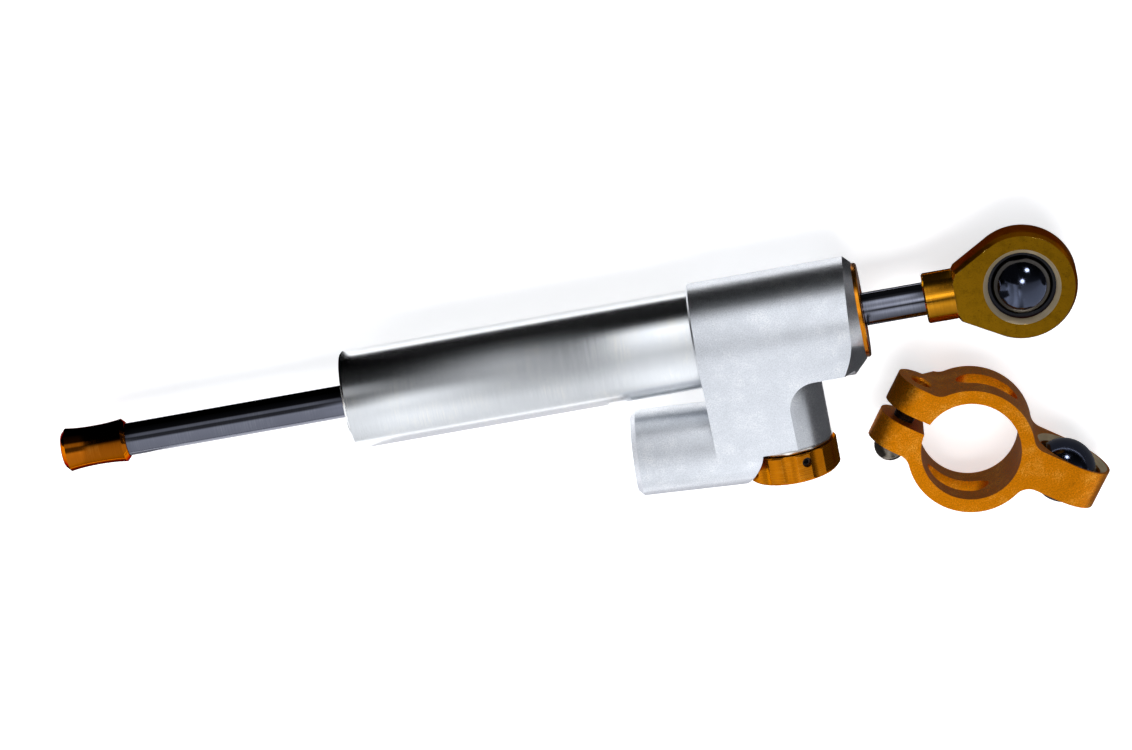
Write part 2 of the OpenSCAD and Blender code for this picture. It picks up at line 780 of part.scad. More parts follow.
module adjuster_collar() {
    color("whitesmoke") difference() {
        union() {
            along_adjuster(-boss_y - seat_gap) cylinder(r1 = collar_d / 2,
                r2 = collar_d / 2 - collar_taper, h = collar_t - seat_gap);
            along_adjuster(collar_plug_l - boss_y)
                cylinder(r = counterbore_r - seat_gap, h = collar_plug_l + 2 * seat_gap);
        }
        along_adjuster(0) cylinder(r = spindle_r + run_gap, h = boss_y + knob_h);
        along_adjuster(0) translate([0, -detent_place, 0])
            cylinder(r = detent_r + seat_gap, h = boss_y + knob_h, $fn = 32);
    }
}

module adjuster_knob() {
    lobe_pitch = 360 / knob_lobes;
    half_gap = lobe_pitch * (1 - lobe_share) / 2 + lobe_margin;
    chord = knob_r * sin(half_gap);
    cutter_r = (pow(chord, 2) + pow(lobe_depth, 2)) / (2 * lobe_depth);
    cutter_place = knob_r * cos(half_gap) + sqrt(pow(cutter_r, 2) - pow(chord, 2));
    hole_h = knob_h - knob_floor;
    color("orange") difference() {
        along_adjuster(knob_top_y) union() {
            cylinder(r1 = knob_r - knob_edge, r2 = knob_r, h = knob_edge);
            translate([0, 0, knob_edge]) cylinder(r = knob_r, h = knob_h - knob_edge - knob_bevel);
            translate([0, 0, knob_h - knob_bevel])
                cylinder(r1 = knob_r, r2 = knob_r - knob_bevel, h = knob_bevel);
        }
        along_adjuster(knob_top_y + past) for (i = [0 : knob_lobes - 1])
            rotate([0, 0, grub_angle - 90 + lobe_pitch * (i + 0.5)])
            translate([cutter_place, 0, 0]) cylinder(r = cutter_r, h = knob_h + 2 * past);
        along_adjuster(knob_top_y + past) cylinder(r = spindle_r + seat_gap, h = hole_h + past);
        along_adjuster(knob_top_y + past) for (i = [0 : detent_clicks - 1])
            rotate([0, 0, 360 * i / detent_clicks]) translate([0, -detent_place, 0])
            cylinder(r = dimple_r, h = past + dimple_depth, $fn = 16);
        translate([adjuster_axis_x, knob_top_y - grub_depth, 0]) rotate([0, grub_angle, 0])
            cylinder(r = grub_r + seat_gap, h = knob_r + past, $fn = 32);
    }
}

module knob_grub_screw() {
    color("black") translate([adjuster_axis_x, knob_top_y - grub_depth, 0])
        rotate([0, grub_angle, 0]) translate([0, 0, spindle_r + seat_gap]) difference() {
            cylinder(r = grub_r, h = knob_r - grub_recess - spindle_r, $fn = 32);
            translate([0, 0, knob_r - grub_recess - spindle_r - grub_socket_depth])
                cylinder(d = grub_socket * 2 / sqrt(3), h = grub_socket_depth + past, $fn = 6);
        }
}

module detent_ball() {
    color("silver") along_adjuster(knob_top_y + detent_gap + detent_r)
        translate([0, -detent_place, 0]) sphere(r = detent_r, $fn = 32);
}

module detent_spring() {
    wire_r = 0.2;
    turns = 4;
    top_y = detent_depth - boss_y - 2 * detent_gap;
    ball_y = knob_top_y + 2 * (detent_gap + detent_r);
    color("slategray") along_adjuster(top_y) translate([0, -detent_place, 0])
        coil(detent_r - detent_gap - wire_r, wire_r, turns, top_y - ball_y);
}

// Outline of the clamp across its axis: ring, ear and lugs with fillets between them
module clamp_outline() {
    offset(r = -clamp_fillet) offset(delta = clamp_fillet) {
        circle(r = clamp_r, $fn = 144);
        translate([0, ear_offset - ear_t / 2]) square([ear_reach + clamp_half, ear_t]);
        translate([-lug_reach, lug_offset - lug_y]) square([lug_reach, 2 * lug_y]);
    }
}

// Outline of the clamp seen along the ear's hole: both ends are round, the lugs narrower
module clamp_side() {
    wall_x = clamp_bore_r + clamp_wall / 2;
    lug_x = lug_reach - lug_half;
    translate([0, ear_t, 0]) rotate([90, 0, 0]) translate([0, 0, -clamp_r]) {
        translate([ear_reach, 0, 0]) cylinder(r = clamp_half, h = 3 * clamp_r);
        translate([-lug_x, lug_z, 0]) cylinder(r = lug_half, h = 3 * clamp_r);
        linear_extrude(height = 3 * clamp_r) polygon([
            [-lug_x, clamp_half], [ear_reach, clamp_half], [ear_reach, -clamp_half], [-wall_x, -clamp_half],
            [-wall_x - lug_slope, lug_z - lug_half], [-lug_x, lug_z - lug_half]]);
    }
}

// Cutter of one oval slot through the ring's wall
module ring_slot(turn) {
    flat = slot_l - slot_w;
    rotate([0, 0, turn]) rotate([0, 90, 0]) {
        for (s = [-1, 1]) translate([0, s * flat / 2, 0]) cylinder(r = slot_w / 2, h = 2 * clamp_r);
        translate([-slot_w / 2, -flat / 2, 0]) cube([slot_w, flat, 2 * clamp_r]);
    }
}

// Cutters of the pinch screw's holes, along the screw with its head end at -Y
module screw_holes() {
    translate([-screw_reach, lug_offset, lug_z]) rotate([90, 0, 0]) {
        cylinder(r = screw_d / 2 + screw_hole_gap, h = lug_y + past);
        translate([0, 0, -lug_y - past]) cylinder(r = screw_d / 2 + seat_gap, h = lug_y + 2 * past);
        translate([0, 0, -lug_y - past])
            cylinder(r1 = screw_d / 2 + screw_countersink + past, r2 = screw_d / 2,
                h = screw_countersink + past);
        translate([0, 0, lug_y]) cylinder(r = screw_head_r + screw_hole_gap, h = clamp_fillet);
    }
}

module clamp_ring() {
    color("orange") place_clamp() difference() {
        intersection() {
            translate([0, 0, -clamp_half]) linear_extrude(height = clamp_w) clamp_outline();
            clamp_side();
        }
        translate([0, 0, -clamp_half - past]) cylinder(r = clamp_bore_r, h = clamp_w + 2 * past);
        translate([-lug_reach - past, lug_offset - clamp_gap / 2, -clamp_half - past])
            cube([lug_reach, clamp_gap, clamp_w + 2 * past]);
        translate([ear_reach, ear_offset, 0]) rotate([90, 0, 0]) race_seat(ear_t);
        for (turn = [slot_turn, slot_turn + 180]) ring_slot(turn);
        screw_holes();
    }
}

module clamp_race() {
    color("silver") place_clamp() translate([ear_reach, ear_offset, 0]) rotate([90, 0, 0]) race();
}

module clamp_ball() { color("dimgray") place_clamp() translate([ear_reach, ear_offset, 0]) ball(); }

module clamp_screw() {
    head_y = -lug_y - seat_gap;
    dome_r = (pow(screw_head_r, 2) + pow(screw_head_h, 2)) / (2 * screw_head_h);
    color("black") place_clamp() translate([-screw_reach, lug_offset, lug_z]) rotate([90, 0, 0]) {
        difference() {
            union() {
                intersection() {
                    translate([0, 0, -head_y]) cylinder(r = screw_head_r, h = screw_head_h);
                    translate([0, 0, screw_head_h - head_y - dome_r]) sphere(r = dome_r);
                }
                translate([0, 0, -head_y - screw_l]) cylinder(r = screw_d / 2, h = screw_l + 0.5);
            }
            translate([0, 0, screw_head_h - head_y - screw_socket_depth])
                cylinder(d = screw_socket * 2 / sqrt(3), h = screw_socket_depth + past, $fn = 6);
        }
    }
}

cylinder_tube();
head_block();
head_cap();
tube_gland();
gland_circlip();
gland_bush();
cap_bush();
gland_seal();
cap_seal();
gland_wiper();
cap_wiper();
gland_o_ring();
cap_o_ring();
damper_rod();
piston();
piston_band();
piston_circlips();
rod_tip();
rod_eye();
eye_race();
eye_ball();
reservoir_plug();
floating_piston();
floating_o_ring();
reservoir_spring();
adjuster_spindle();
spindle_o_ring();
adjuster_knob();
knob_grub_screw();
adjuster_collar();
detent_ball();
detent_spring();
clamp_ring();
clamp_race();
clamp_ball();
clamp_screw();
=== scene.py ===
"""Looks of a motorcycle steering damper: its metals, its turned and blasted skins, and a plain studio.

Every length below is in millimetres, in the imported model's own frame, and becomes metres in the meshes:
X runs along the rod towards the eye, Z is up, and -Y points to the reservoir and the knob.
"""

import logging
import math
from dataclasses import dataclass
from enum import Enum, IntEnum
from typing import Optional, Sequence, Union

import bmesh
import bpy
import numpy as np
from mathutils import Matrix, Vector


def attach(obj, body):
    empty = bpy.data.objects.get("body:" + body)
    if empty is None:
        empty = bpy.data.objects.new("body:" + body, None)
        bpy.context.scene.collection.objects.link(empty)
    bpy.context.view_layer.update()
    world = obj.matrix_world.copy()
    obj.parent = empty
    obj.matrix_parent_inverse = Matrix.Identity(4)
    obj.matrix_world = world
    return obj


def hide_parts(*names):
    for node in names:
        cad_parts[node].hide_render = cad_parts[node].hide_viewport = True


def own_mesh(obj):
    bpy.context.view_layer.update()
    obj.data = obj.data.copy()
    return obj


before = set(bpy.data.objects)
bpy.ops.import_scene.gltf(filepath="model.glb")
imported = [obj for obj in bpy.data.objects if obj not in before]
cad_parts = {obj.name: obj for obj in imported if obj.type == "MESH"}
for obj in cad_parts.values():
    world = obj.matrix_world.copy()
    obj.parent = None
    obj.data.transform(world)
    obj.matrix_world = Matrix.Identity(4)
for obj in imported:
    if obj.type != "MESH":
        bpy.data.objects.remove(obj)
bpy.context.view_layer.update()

MM = 0.001
Corner = Colour = tuple[float, float, float]
Socket, Thing, Mesh, Skin = bpy.types.NodeSocket, bpy.types.Object, bpy.types.Mesh, bpy.types.Material
WHITE: Colour = (1.0, 1.0, 1.0)
LOG = logging.getLogger("damper")

NOISE_MIDDLE = (0.3, 0.7)  # the part of a noise's range that most of it lies in
NOISE_ROUGHNESS = 0.6
GRAIN_DETAIL, PATCH_DETAIL = 2.0, 4.0
FINER_GRAIN = 2.7  # how much finer the second grain is
GRAIN_SHARES = (0.6, 0.4)  # how the two grains are mixed
GRAIN_ROUGHNESS = (0.85, 1.15)  # how the grain changes the roughness
SMEAR_MIDDLE, SMEAR_ROUGHNESS = (0.35, 0.65), (0.8, 1.3)  # the same for the smears of a polished skin
WORN_RANGE = (0.27, 0.45)  # where the worn colour begins and where it is full
RING_DRIFT = 0.035  # how much a turned ring changes on its way round
STREAK_DRIFT = 0.02  # the same for ground streaks
DRIFT_SKEW = 0.7  # the share of Z in it, so that no side mirrors another


# ---- finishes

class Grain(Enum):
    """How a metal's skin was worked, which sets the coordinates that its grain is drawn in."""

    BLASTED = "even specks in every direction"
    TURNED = "fine rings round the piece's own axis, on its walls and on its faces"
    GROUND = "long fine streaks round the rod's axis"
    SMOOTH = "a polished skin with faint smears"


BLASTED, TURNED, GROUND, SMOOTH = Grain


class ShaderSheet:
    """The node tree of one material or world, written one node at a time."""

    def __init__(self, name: str, world: bool = False) -> None:
        """Makes an empty material or world of that name.

        Args:
            name: its name.
            world: whether it is a world.
        """
        self.owner = (bpy.data.worlds if world else bpy.data.materials).new(name)
        self.owner.use_nodes = True
        self.tree = self.owner.node_tree
        self.tree.nodes.clear()

    def add(self, kind: str, out: Union[int, str] = 0, settings: Optional[dict] = None, **values: object) -> Socket:
        """Adds a node, sets it up and wires it.

        Args:
            kind: the node's type without its ShaderNode prefix.
            out: the output that is returned.
            settings: attributes of the node itself.
            **values: input sockets by name, or by number as i0, i1 and so on; a socket is linked, a plain value is set.

        Returns:
            The output socket.
        """
        node = self.tree.nodes.new("ShaderNode" + kind)
        for key, value in (settings or {}).items():
            setattr(node, key, value)
        for key, value in values.items():
            numbered = key[0] == "i" and key[1:].isdigit()
            socket = node.inputs[int(key[1:]) if numbered else key.replace("_", " ")]
            if isinstance(value, Socket):
                self.tree.links.new(value, socket)
            else:
                socket.default_value = value
        return node.outputs[out]

    def math(self, operation: str, *values: object) -> Socket:
        """Adds a Math node of that operation over the values and returns its output."""
        return self.add("Math", settings={"operation": operation}, **{f"i{i}": v for i, v in enumerate(values)})

    def noise(self, vector: Socket, scale: float, detail: float) -> Socket:
        """Adds a noise pattern over the vector and returns its factor."""
        return self.add("TexNoise", "Fac", Vector=vector, Scale=scale, Detail=detail, Roughness=NOISE_ROUGHNESS)

    def spread(self, value: Socket, low: float, high: float, to_low: float = 0.0, to_high: float = 1.0) -> Socket:
        """Stretches a value from one range to another, held at its ends, and returns it."""
        return self.add("MapRange", "Result", i0=value, i1=low, i2=high, i3=to_low, i4=to_high)

    def blend(self, share: Union[Socket, float], a: object, b: object, mode: str = "MIX") -> Socket:
        """Mixes two colours by a share and returns the result."""
        return self.add("Mix", 2, settings={"data_type": "RGBA", "blend_type": mode}, i0=share, i6=a, i7=b)

    def seen(self) -> Socket:
        """Returns 1 where the camera, a reflection or a clear thing looks, and 0 for the light that falls."""
        rays = self.tree.nodes.new("ShaderNodeLightPath").outputs
        return self.math("MAXIMUM", rays["Is Camera Ray"],
                         self.math("MAXIMUM", rays["Is Glossy Ray"], rays["Is Transmission Ray"]))

    def close(self, shader: Socket) -> Union[Skin, bpy.types.World]:
        """Wires the shader to the output and returns the material or the world."""
        out = self.tree.nodes.new("ShaderNodeOutput" + type(self.owner).__name__)
        self.tree.links.new(shader, out.inputs["Surface"])
        return self.owner


def glow_skin(name: str, colour: Colour, strength: float = 1.0) -> Skin:
    """Builds a material that only gives off light, of that linear colour and strength."""
    sheet = ShaderSheet(name + "_skin")
    return sheet.close(sheet.add("Emission", Color=(*colour, 1.0), Strength=strength))


@dataclass(frozen=True)
class Axis:
    """A straight line that a piece is turned about: a point on it in millimetres and its direction."""

    point: Corner = (0.0, 0.0, 0.0)
    way: Corner = (1.0, 0.0, 0.0)

    def matrix(self) -> np.ndarray:
        """Works out the 4 by 4 matrix that takes the X axis to this line, in metres.

        Returns:
            The matrix, whose first column is the line's direction and whose last is its point.
        """
        first = np.array(self.way, float) / np.linalg.norm(self.way)
        helper = (0.0, 0.0, 1.0) if abs(first[2]) < 0.9 else (0.0, 1.0, 0.0)
        second = np.cross(helper, first)
        second /= np.linalg.norm(second)
        out = np.eye(4)
        out[:3, 0], out[:3, 1], out[:3, 2] = first, second, np.cross(first, second)
        out[:3, 3] = np.array(self.point) * MM
        return out

    def place(self, points: np.ndarray) -> np.ndarray:
        """Takes points in millimetres, made along X, to this line, in metres."""
        m = self.matrix()
        return (points * MM) @ m[:3, :3].T + m[:3, 3]


def linear(screen: Colour) -> tuple[float, float, float, float]:
    """Turns a screen colour of 0 to 255 into a linear one: c / 12.92 when dark, else ((c + 0.055) / 1.055) ^ 2.4."""
    c = np.array(screen) / 255.0
    values = np.where(c <= 0.04045, c / 12.92, ((c + 0.055) / 1.055) ** 2.4)
    return (*(float(v) for v in values), 1.0)


@dataclass(frozen=True)
class MetalFinish:
    """A metal or rubber skin: its screen colours, how it shines, and the grain that its making left on it."""

    name: str
    colour: Colour
    worn: Colour
    roughness: float
    grain: Grain = BLASTED
    grain_size: float = 0.3
    contrast: float = 0.12
    depth: float = 0.01
    metal: float = 1.0
    patches: float = 0.08
    patch_size: float = 9.0
    edge: Colour = (255, 255, 255)

    def coordinates(self, sheet: ShaderSheet, axis: Axis) -> tuple[Socket, Socket]:
        """Makes the coordinates of the fine grain and of the broad patches, in millimetres.

        Turned: station and distance from the axis, with a little of the angle, so that noise draws rings.
        Ground: the same about the rod's axis, stretched far round it. Blasted and smooth: plain coordinates.

        Args:
            sheet: the material's sheet.
            axis: the line that the piece was turned about.

        Returns:
            The vectors for the grain and for the patches.
        """
        coords = sheet.add("TexCoord", "Object")
        turn = Matrix(axis.matrix().tolist()).inverted()
        local = sheet.add("Mapping", settings={"vector_type": "POINT"}, Vector=coords,
                          Location=turn.translation * 1000.0, Rotation=turn.to_euler("XYZ"),
                          Scale=(1000.0, 1000.0, 1000.0))
        if self.grain in (BLASTED, SMOOTH):
            return local, local
        parts = sheet.tree.nodes.new("ShaderNodeSeparateXYZ")
        sheet.tree.links.new(local, parts.inputs[0])
        x, y, z = parts.outputs
        out = sheet.math("SQRT", sheet.math("ADD", sheet.math("MULTIPLY", y, y), sheet.math("MULTIPLY", z, z)))
        along = RING_DRIFT if self.grain is TURNED else STREAK_DRIFT
        drift = sheet.math("MULTIPLY", sheet.math("ADD", y, sheet.math("MULTIPLY", z, DRIFT_SKEW)), along)
        return sheet.add("CombineXYZ", X=x, Y=out, Z=drift), local

    def material(self, axis: Axis = Axis(), tag: str = "") -> Skin:
        """Builds the material, or returns the one of that name that is there already.

        Args:
            axis: the line that the piece was turned about.
            tag: an ending for the name, where one finish is used about several axes.

        Returns:
            The material.
        """
        name = self.name + tag
        if name in bpy.data.materials:
            return bpy.data.materials[name]
        sheet = ShaderSheet(name)
        fine_at, broad_at = self.coordinates(sheet, axis)
        fine = sheet.noise(fine_at, 1.0 / self.grain_size, GRAIN_DETAIL)
        finer = sheet.noise(fine_at, FINER_GRAIN / self.grain_size, GRAIN_DETAIL)
        broad = sheet.noise(broad_at, 1.0 / self.patch_size, PATCH_DETAIL)
        speck = sheet.math("ADD", sheet.math("MULTIPLY", fine, GRAIN_SHARES[0]),
                           sheet.math("MULTIPLY", finer, GRAIN_SHARES[1]))
        light = sheet.spread(speck, *NOISE_MIDDLE, 1.0 - self.contrast, 1.0 + self.contrast)
        tone = sheet.spread(broad, *NOISE_MIDDLE, 1.0 - self.patches, 1.0 + self.patches)
        shade = sheet.math("MULTIPLY", light, tone)
        grey = sheet.add("CombineXYZ", X=shade, Y=shade, Z=shade)
        worn_share = sheet.spread(sheet.math("MULTIPLY", broad, speck), *WORN_RANGE)
        tint = sheet.blend(worn_share, linear(self.colour), linear(self.worn))
        colour = sheet.blend(1.0, tint, grey, "MULTIPLY")
        if self.grain is SMOOTH:
            change = sheet.spread(broad, *SMEAR_MIDDLE, *SMEAR_ROUGHNESS)
        else:
            change = sheet.spread(speck, *NOISE_MIDDLE, *GRAIN_ROUGHNESS)
        rough = sheet.math("MULTIPLY", change, self.roughness)
        bump = sheet.add("Bump", Strength=1.0, Distance=self.depth * MM, Height=speck)
        shader = sheet.add("BsdfPrincipled", Base_Color=colour, Metallic=self.metal, Roughness=rough, Normal=bump,
                           Specular_Tint=linear(self.edge))
        return sheet.close(shader)


BRUSHED_SILVER = MetalFinish("tube_brushed_silver", (224, 226, 228), (232, 230, 224), 0.22, GROUND, 0.22, 0.05,
                             0.0016, patches=0.03, patch_size=14.0)
BLASTED_SILVER = MetalFinish("head_blasted_silver", (230, 233, 238), (246, 247, 249), 0.33, BLASTED, 0.36, 0.2,
                             0.04, patches=0.05, patch_size=7.0)
SILVER_EDGE = MetalFinish("head_worn_edge", (240, 241, 244), (250, 250, 250), 0.3, BLASTED, 0.28, 0.1, 0.01)
GOLD_BLASTED = MetalFinish("clamp_blasted_gold", (224, 132, 10), (250, 176, 66), 0.4, BLASTED, 0.45, 0.42, 0.07,
                           patches=0.05, patch_size=6.0, edge=(252, 238, 226))
GOLD_EDGE = MetalFinish("clamp_worn_edge", (250, 196, 96), (252, 214, 140), 0.3, BLASTED, 0.25, 0.15, 0.01)
GOLD_TURNED = MetalFinish("turned_gold", (222, 134, 24), (236, 160, 54), 0.2, TURNED, 0.35, 0.14, 0.006,
                          patches=0.06)
GOLD_KNOB = MetalFinish("knob_gold", (196, 114, 10), (212, 134, 34), 0.27, TURNED, 0.4, 0.08, 0.005, patches=0.06,
                        edge=(228, 178, 112))
GOLD_TIP = MetalFinish("tip_dark_gold", (178, 96, 14), (196, 118, 34), 0.09, TURNED, 0.35, 0.08, 0.004,
                       edge=(112, 82, 52))
GOLD_NECK = MetalFinish("neck_gold", (208, 140, 30), (222, 160, 60), 0.15, TURNED, 0.35, 0.08, 0.004,
                        edge=(120, 92, 52))
# The eye's faces: gold darkened to olive so that it stands in for the dark reflection those faces show. This is a
# painted dark reflection, not the metal's own colour.
EYE_FACE_PAINTED_DARK = MetalFinish("eye_face_painted_dark_reflection", (146, 104, 12), (122, 84, 8), 0.3, BLASTED, 0.5, 0.2, 0.012,
                       patches=0.24, patch_size=3.0, edge=(150, 100, 20))
EYE_RIM = MetalFinish("eye_brown_rim", (190, 118, 12), (168, 98, 8), 0.34, BLASTED, 0.5, 0.2, 0.012, patches=0.16,
                      patch_size=4.0, edge=(132, 98, 52))
FLARE = MetalFinish("flare_bright", (224, 202, 162), (238, 220, 186), 0.34, TURNED, 0.25, 0.12, 0.004, metal=0.78)
EYE_BEVEL = MetalFinish("eye_bright_bevel", (236, 202, 128), (244, 222, 168), 0.2, TURNED, 0.3, 0.1, 0.004)
# Chrome given a dark grey so that the white surroundings reflect dim on the rod. This is a painted dark reflection, not
# the chrome's own brightness.
ROD_CHROME_PAINTED_DARK = MetalFinish("rod_chrome_painted_dark_reflection", (110, 112, 124), (120, 122, 132), 0.07, GROUND, 0.5, 0.03, 0.0012,
                         patches=0.03)
# The balls' steel given a near-black blue so that the white surroundings reflect dark and only the sparks shine on it.
# This is a painted dark reflection.
BALL_STEEL_PAINTED_DARK = MetalFinish("ball_steel_painted_dark_reflection", (78, 84, 102), (84, 90, 108), 0.11, SMOOTH, 2.0, 0.04, 0.0006,
                         patches=0.05)
RACE_STEEL = MetalFinish("race_steel", (46, 46, 50), (60, 58, 58), 0.3, TURNED, 0.25, 0.1, 0.004)
SCREW_STEEL = MetalFinish("screw_brown_steel", (124, 116, 104), (160, 150, 134), 0.22, TURNED, 0.3, 0.18, 0.006,
                          patches=0.15, patch_size=3.0)
# Black oxide of the circlip and the grub screw. On the pinch screw's thread in the clamp's split, the same near-black
# is painted shade.
BLACK_OXIDE_AND_SPLIT_SHADE = MetalFinish("black_oxide_and_split_shade", (42, 40, 40), (78, 74, 70), 0.36, BLASTED, 0.2, 0.2, 0.01)
COLLAR_SILVER = MetalFinish("collar_bright", (228, 224, 216), (240, 238, 232), 0.2, TURNED, 0.3, 0.1, 0.004)
INNER_STEEL = MetalFinish("inner_steel", (150, 152, 156), (176, 176, 176), 0.3, TURNED, 0.4, 0.12, 0.006)
BRONZE = MetalFinish("bush_bronze", (178, 122, 66), (196, 146, 88), 0.34, TURNED, 0.4, 0.15, 0.008)
RUBBER = MetalFinish("rubber_black", (26, 26, 27), (46, 46, 46), 0.62, BLASTED, 0.4, 0.2, 0.02, metal=0.0)
BAND_BROWN = MetalFinish("band_polymer", (112, 74, 44), (132, 92, 60), 0.5, BLASTED, 0.4, 0.15, 0.01, metal=0.0)


# ---- meshes

ARC_STEPS = 4  # pieces in each arc of an outline
OWN_WELD, CAD_WELD = 2e-7, 2e-6  # metres: closer points become one, in new meshes and in CAD copies
SLIVER = 1e-8  # metres: shorter edges go
FLAT_ANGLE = 0.6  # degrees: faces that meet at less are one face
SHARP_ANGLE = 35.0  # degrees: steeper edges of new meshes stay sharp
EASED_ANGLE = 24.0  # degrees: steeper edges of CAD copies are broken
EASED_SLOT, EASED_SEGMENTS = 1, 2  # the bevel's material slot and its rows of faces
CONE_SLANT = (0.3, 0.98)  # how much of a cone's normal lies along its axis
WALL_SLANT = (0.0, 0.6)  # the same for a wall round the axis
FLARE_RING = (10.1, 11.7)  # the least and greatest radius of the cones round the balls' races
EYE_AXIS = Axis((151.6, 0.0, 0.0), (0.0, 0.0, 1.0))


def rounded(corners: Sequence[Corner], closed: bool = False) -> np.ndarray:
    """Rounds the corners of an outline with arcs.

    At a corner P with unit directions u and v to its neighbours and half the angle h between them, an arc of
    radius f touches both sides at f / tan(h) from P, and its middle lies f / sin(h) along the bisector. The arc
    runs from the first touch to the second by spherical blending of the two spokes.

    Args:
        corners: rows of station, radius and fillet, in millimetres.
        closed: whether the outline returns to its start.

    Returns:
        The outline's points, as rows of station and radius.
    """
    data = np.array(corners, float)
    point, fillet = data[:, :2], data[:, 2:3].copy()
    before, after = np.roll(point, 1, 0), np.roll(point, -1, 0)
    if not closed:
        before[0], after[-1] = 2 * point[0] - point[1], 2 * point[-1] - point[-2]
        fillet[0] = fillet[-1] = 0.0
    u = (before - point) / np.linalg.norm(before - point, axis=1, keepdims=True)
    v = (after - point) / np.linalg.norm(after - point, axis=1, keepdims=True)
    half = np.arccos(np.clip((u * v).sum(1, keepdims=True), -1.0, 1.0)) / 2
    half = np.where(fillet > 0, half, math.pi / 4)
    bisector = u + v
    size = np.linalg.norm(bisector, axis=1, keepdims=True)
    bisector = np.where(size > 1e-9, bisector / np.maximum(size, 1e-9), 0.0)
    middle = point + bisector * fillet / np.sin(half)
    first, last = point + u * fillet / np.tan(half) - middle, point + v * fillet / np.tan(half) - middle
    t = np.linspace(0.0, 1.0, ARC_STEPS + 1)[None, :, None]
    turn = (math.pi - 2 * half)[:, None, :]
    arc = (np.sin((1 - t) * turn) * first[:, None, :] + np.sin(t * turn) * last[:, None, :]) / np.sin(turn)
    arc = np.where(fillet[:, None, :] > 0, middle[:, None, :] + arc, point[:, None, :])
    flat = arc.reshape(-1, 2)
    keep = np.ones(len(flat), bool)
    keep[1:] = np.linalg.norm(np.diff(flat, axis=0), axis=1) > 1e-6
    return flat[keep]


def grid_faces(rows: int, columns: int, wrap_rows: bool, wrap_columns: bool) -> np.ndarray:
    """Lists the four corners of every cell of a grid of points, numbered row by row.

    Args:
        rows: points down the grid.
        columns: points across it.
        wrap_rows: whether the last row joins the first.
        wrap_columns: whether the last column joins the first.

    Returns:
        One row of four point numbers for each cell.
    """
    i = np.arange(rows if wrap_rows else rows - 1)[:, None]
    j = np.arange(columns if wrap_columns else columns - 1)[None, :]
    down, right = (i + 1) % rows, (j + 1) % columns
    cell = np.stack([i * columns + j, i * columns + right, down * columns + right, down * columns + j], -1)
    return cell.reshape(-1, 4)


def linked(name: str, data: bpy.types.ID) -> Thing:
    """Makes an object of that name from its data, links it to the scene and returns it."""
    thing = bpy.data.objects.new(name, data)
    bpy.context.scene.collection.objects.link(thing)
    return thing


def surface(name: str, points: np.ndarray, faces: np.ndarray) -> Thing:
    """Puts points in metres and four-cornered faces into a new object, with no doubles and smooth but for edges.

    Args:
        name: the object's name.
        points: rows of x, y, z.
        faces: rows of four point numbers.

    Returns:
        The object, at the origin.
    """
    mesh = bpy.data.meshes.new(name)
    mesh.from_pydata(points.tolist(), [], faces.tolist())
    work = bmesh.new()
    work.from_mesh(mesh)
    bmesh.ops.remove_doubles(work, verts=work.verts, dist=OWN_WELD)
    bmesh.ops.dissolve_degenerate(work, edges=work.edges, dist=SLIVER)
    bmesh.ops.recalc_face_normals(work, faces=work.faces)
    work.to_mesh(mesh)
    work.free()
    mesh.shade_smooth()
    mesh.set_sharp_from_angle(angle=math.radians(SHARP_ANGLE))
    return linked(name, mesh)


def lathe(name: str, outline: np.ndarray, axis: Axis, closed: bool, sides: int = 128) -> Thing:
    """Carries an outline round an axis: the point at station s and angle a is (s, r cos a, r sin a).

    Args:
        name: the object's name.
        outline: rows of station and radius.
        axis: the line that it goes round.
        closed: whether the outline is a loop, as for a ring.
        sides: steps round the axis.

    Returns:
        The object.
    """
    angle = np.linspace(0.0, 2 * math.pi, sides, endpoint=False)[None, :]
    station, r = outline[:, :1] + 0 * angle, outline[:, 1:] + 0 * angle
    grid = np.stack([station, r * np.cos(angle), r * np.sin(angle)], -1)
    return surface(name, axis.place(grid.reshape(-1, 3)), grid_faces(len(outline), sides, closed, True))


def merged_mesh(node: str) -> Mesh:
    """Copies a CAD node's mesh and merges its doubled points.

    Args:
        node: the CAD node.

    Returns:
        The mesh, with no materials.
    """
    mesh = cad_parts[node].data.copy()
    mesh.materials.clear()
    work = bmesh.new()
    work.from_mesh(mesh)
    bmesh.ops.remove_doubles(work, verts=work.verts, dist=CAD_WELD)
    bmesh.ops.dissolve_limit(work, angle_limit=math.radians(FLAT_ANGLE), verts=work.verts, edges=work.edges)
    work.to_mesh(mesh)
    work.free()
    mesh.shade_smooth()
    return mesh


def eased_copy(node: str, name: str, width: float) -> Thing:
    """Copies a CAD node's mesh, merges it, and breaks its sharp edges with a narrow bevel of its own material.

    Args:
        node: the CAD node.
        name: the new object's name.
        width: the bevel's width in millimetres.

    Returns:
        The object.
    """
    mesh, angle = merged_mesh(node), math.radians(EASED_ANGLE)
    mesh.set_sharp_from_angle(angle=angle)
    thing = linked(name, mesh)
    bevel = thing.modifiers.new("eased_edges", "BEVEL")
    bevel.width, bevel.segments, bevel.material = width * MM, EASED_SEGMENTS, EASED_SLOT
    bevel.limit_method, bevel.angle_limit = "ANGLE", angle
    thing.modifiers.new("even_normals", "WEIGHTED_NORMAL").keep_sharp = True
    return thing


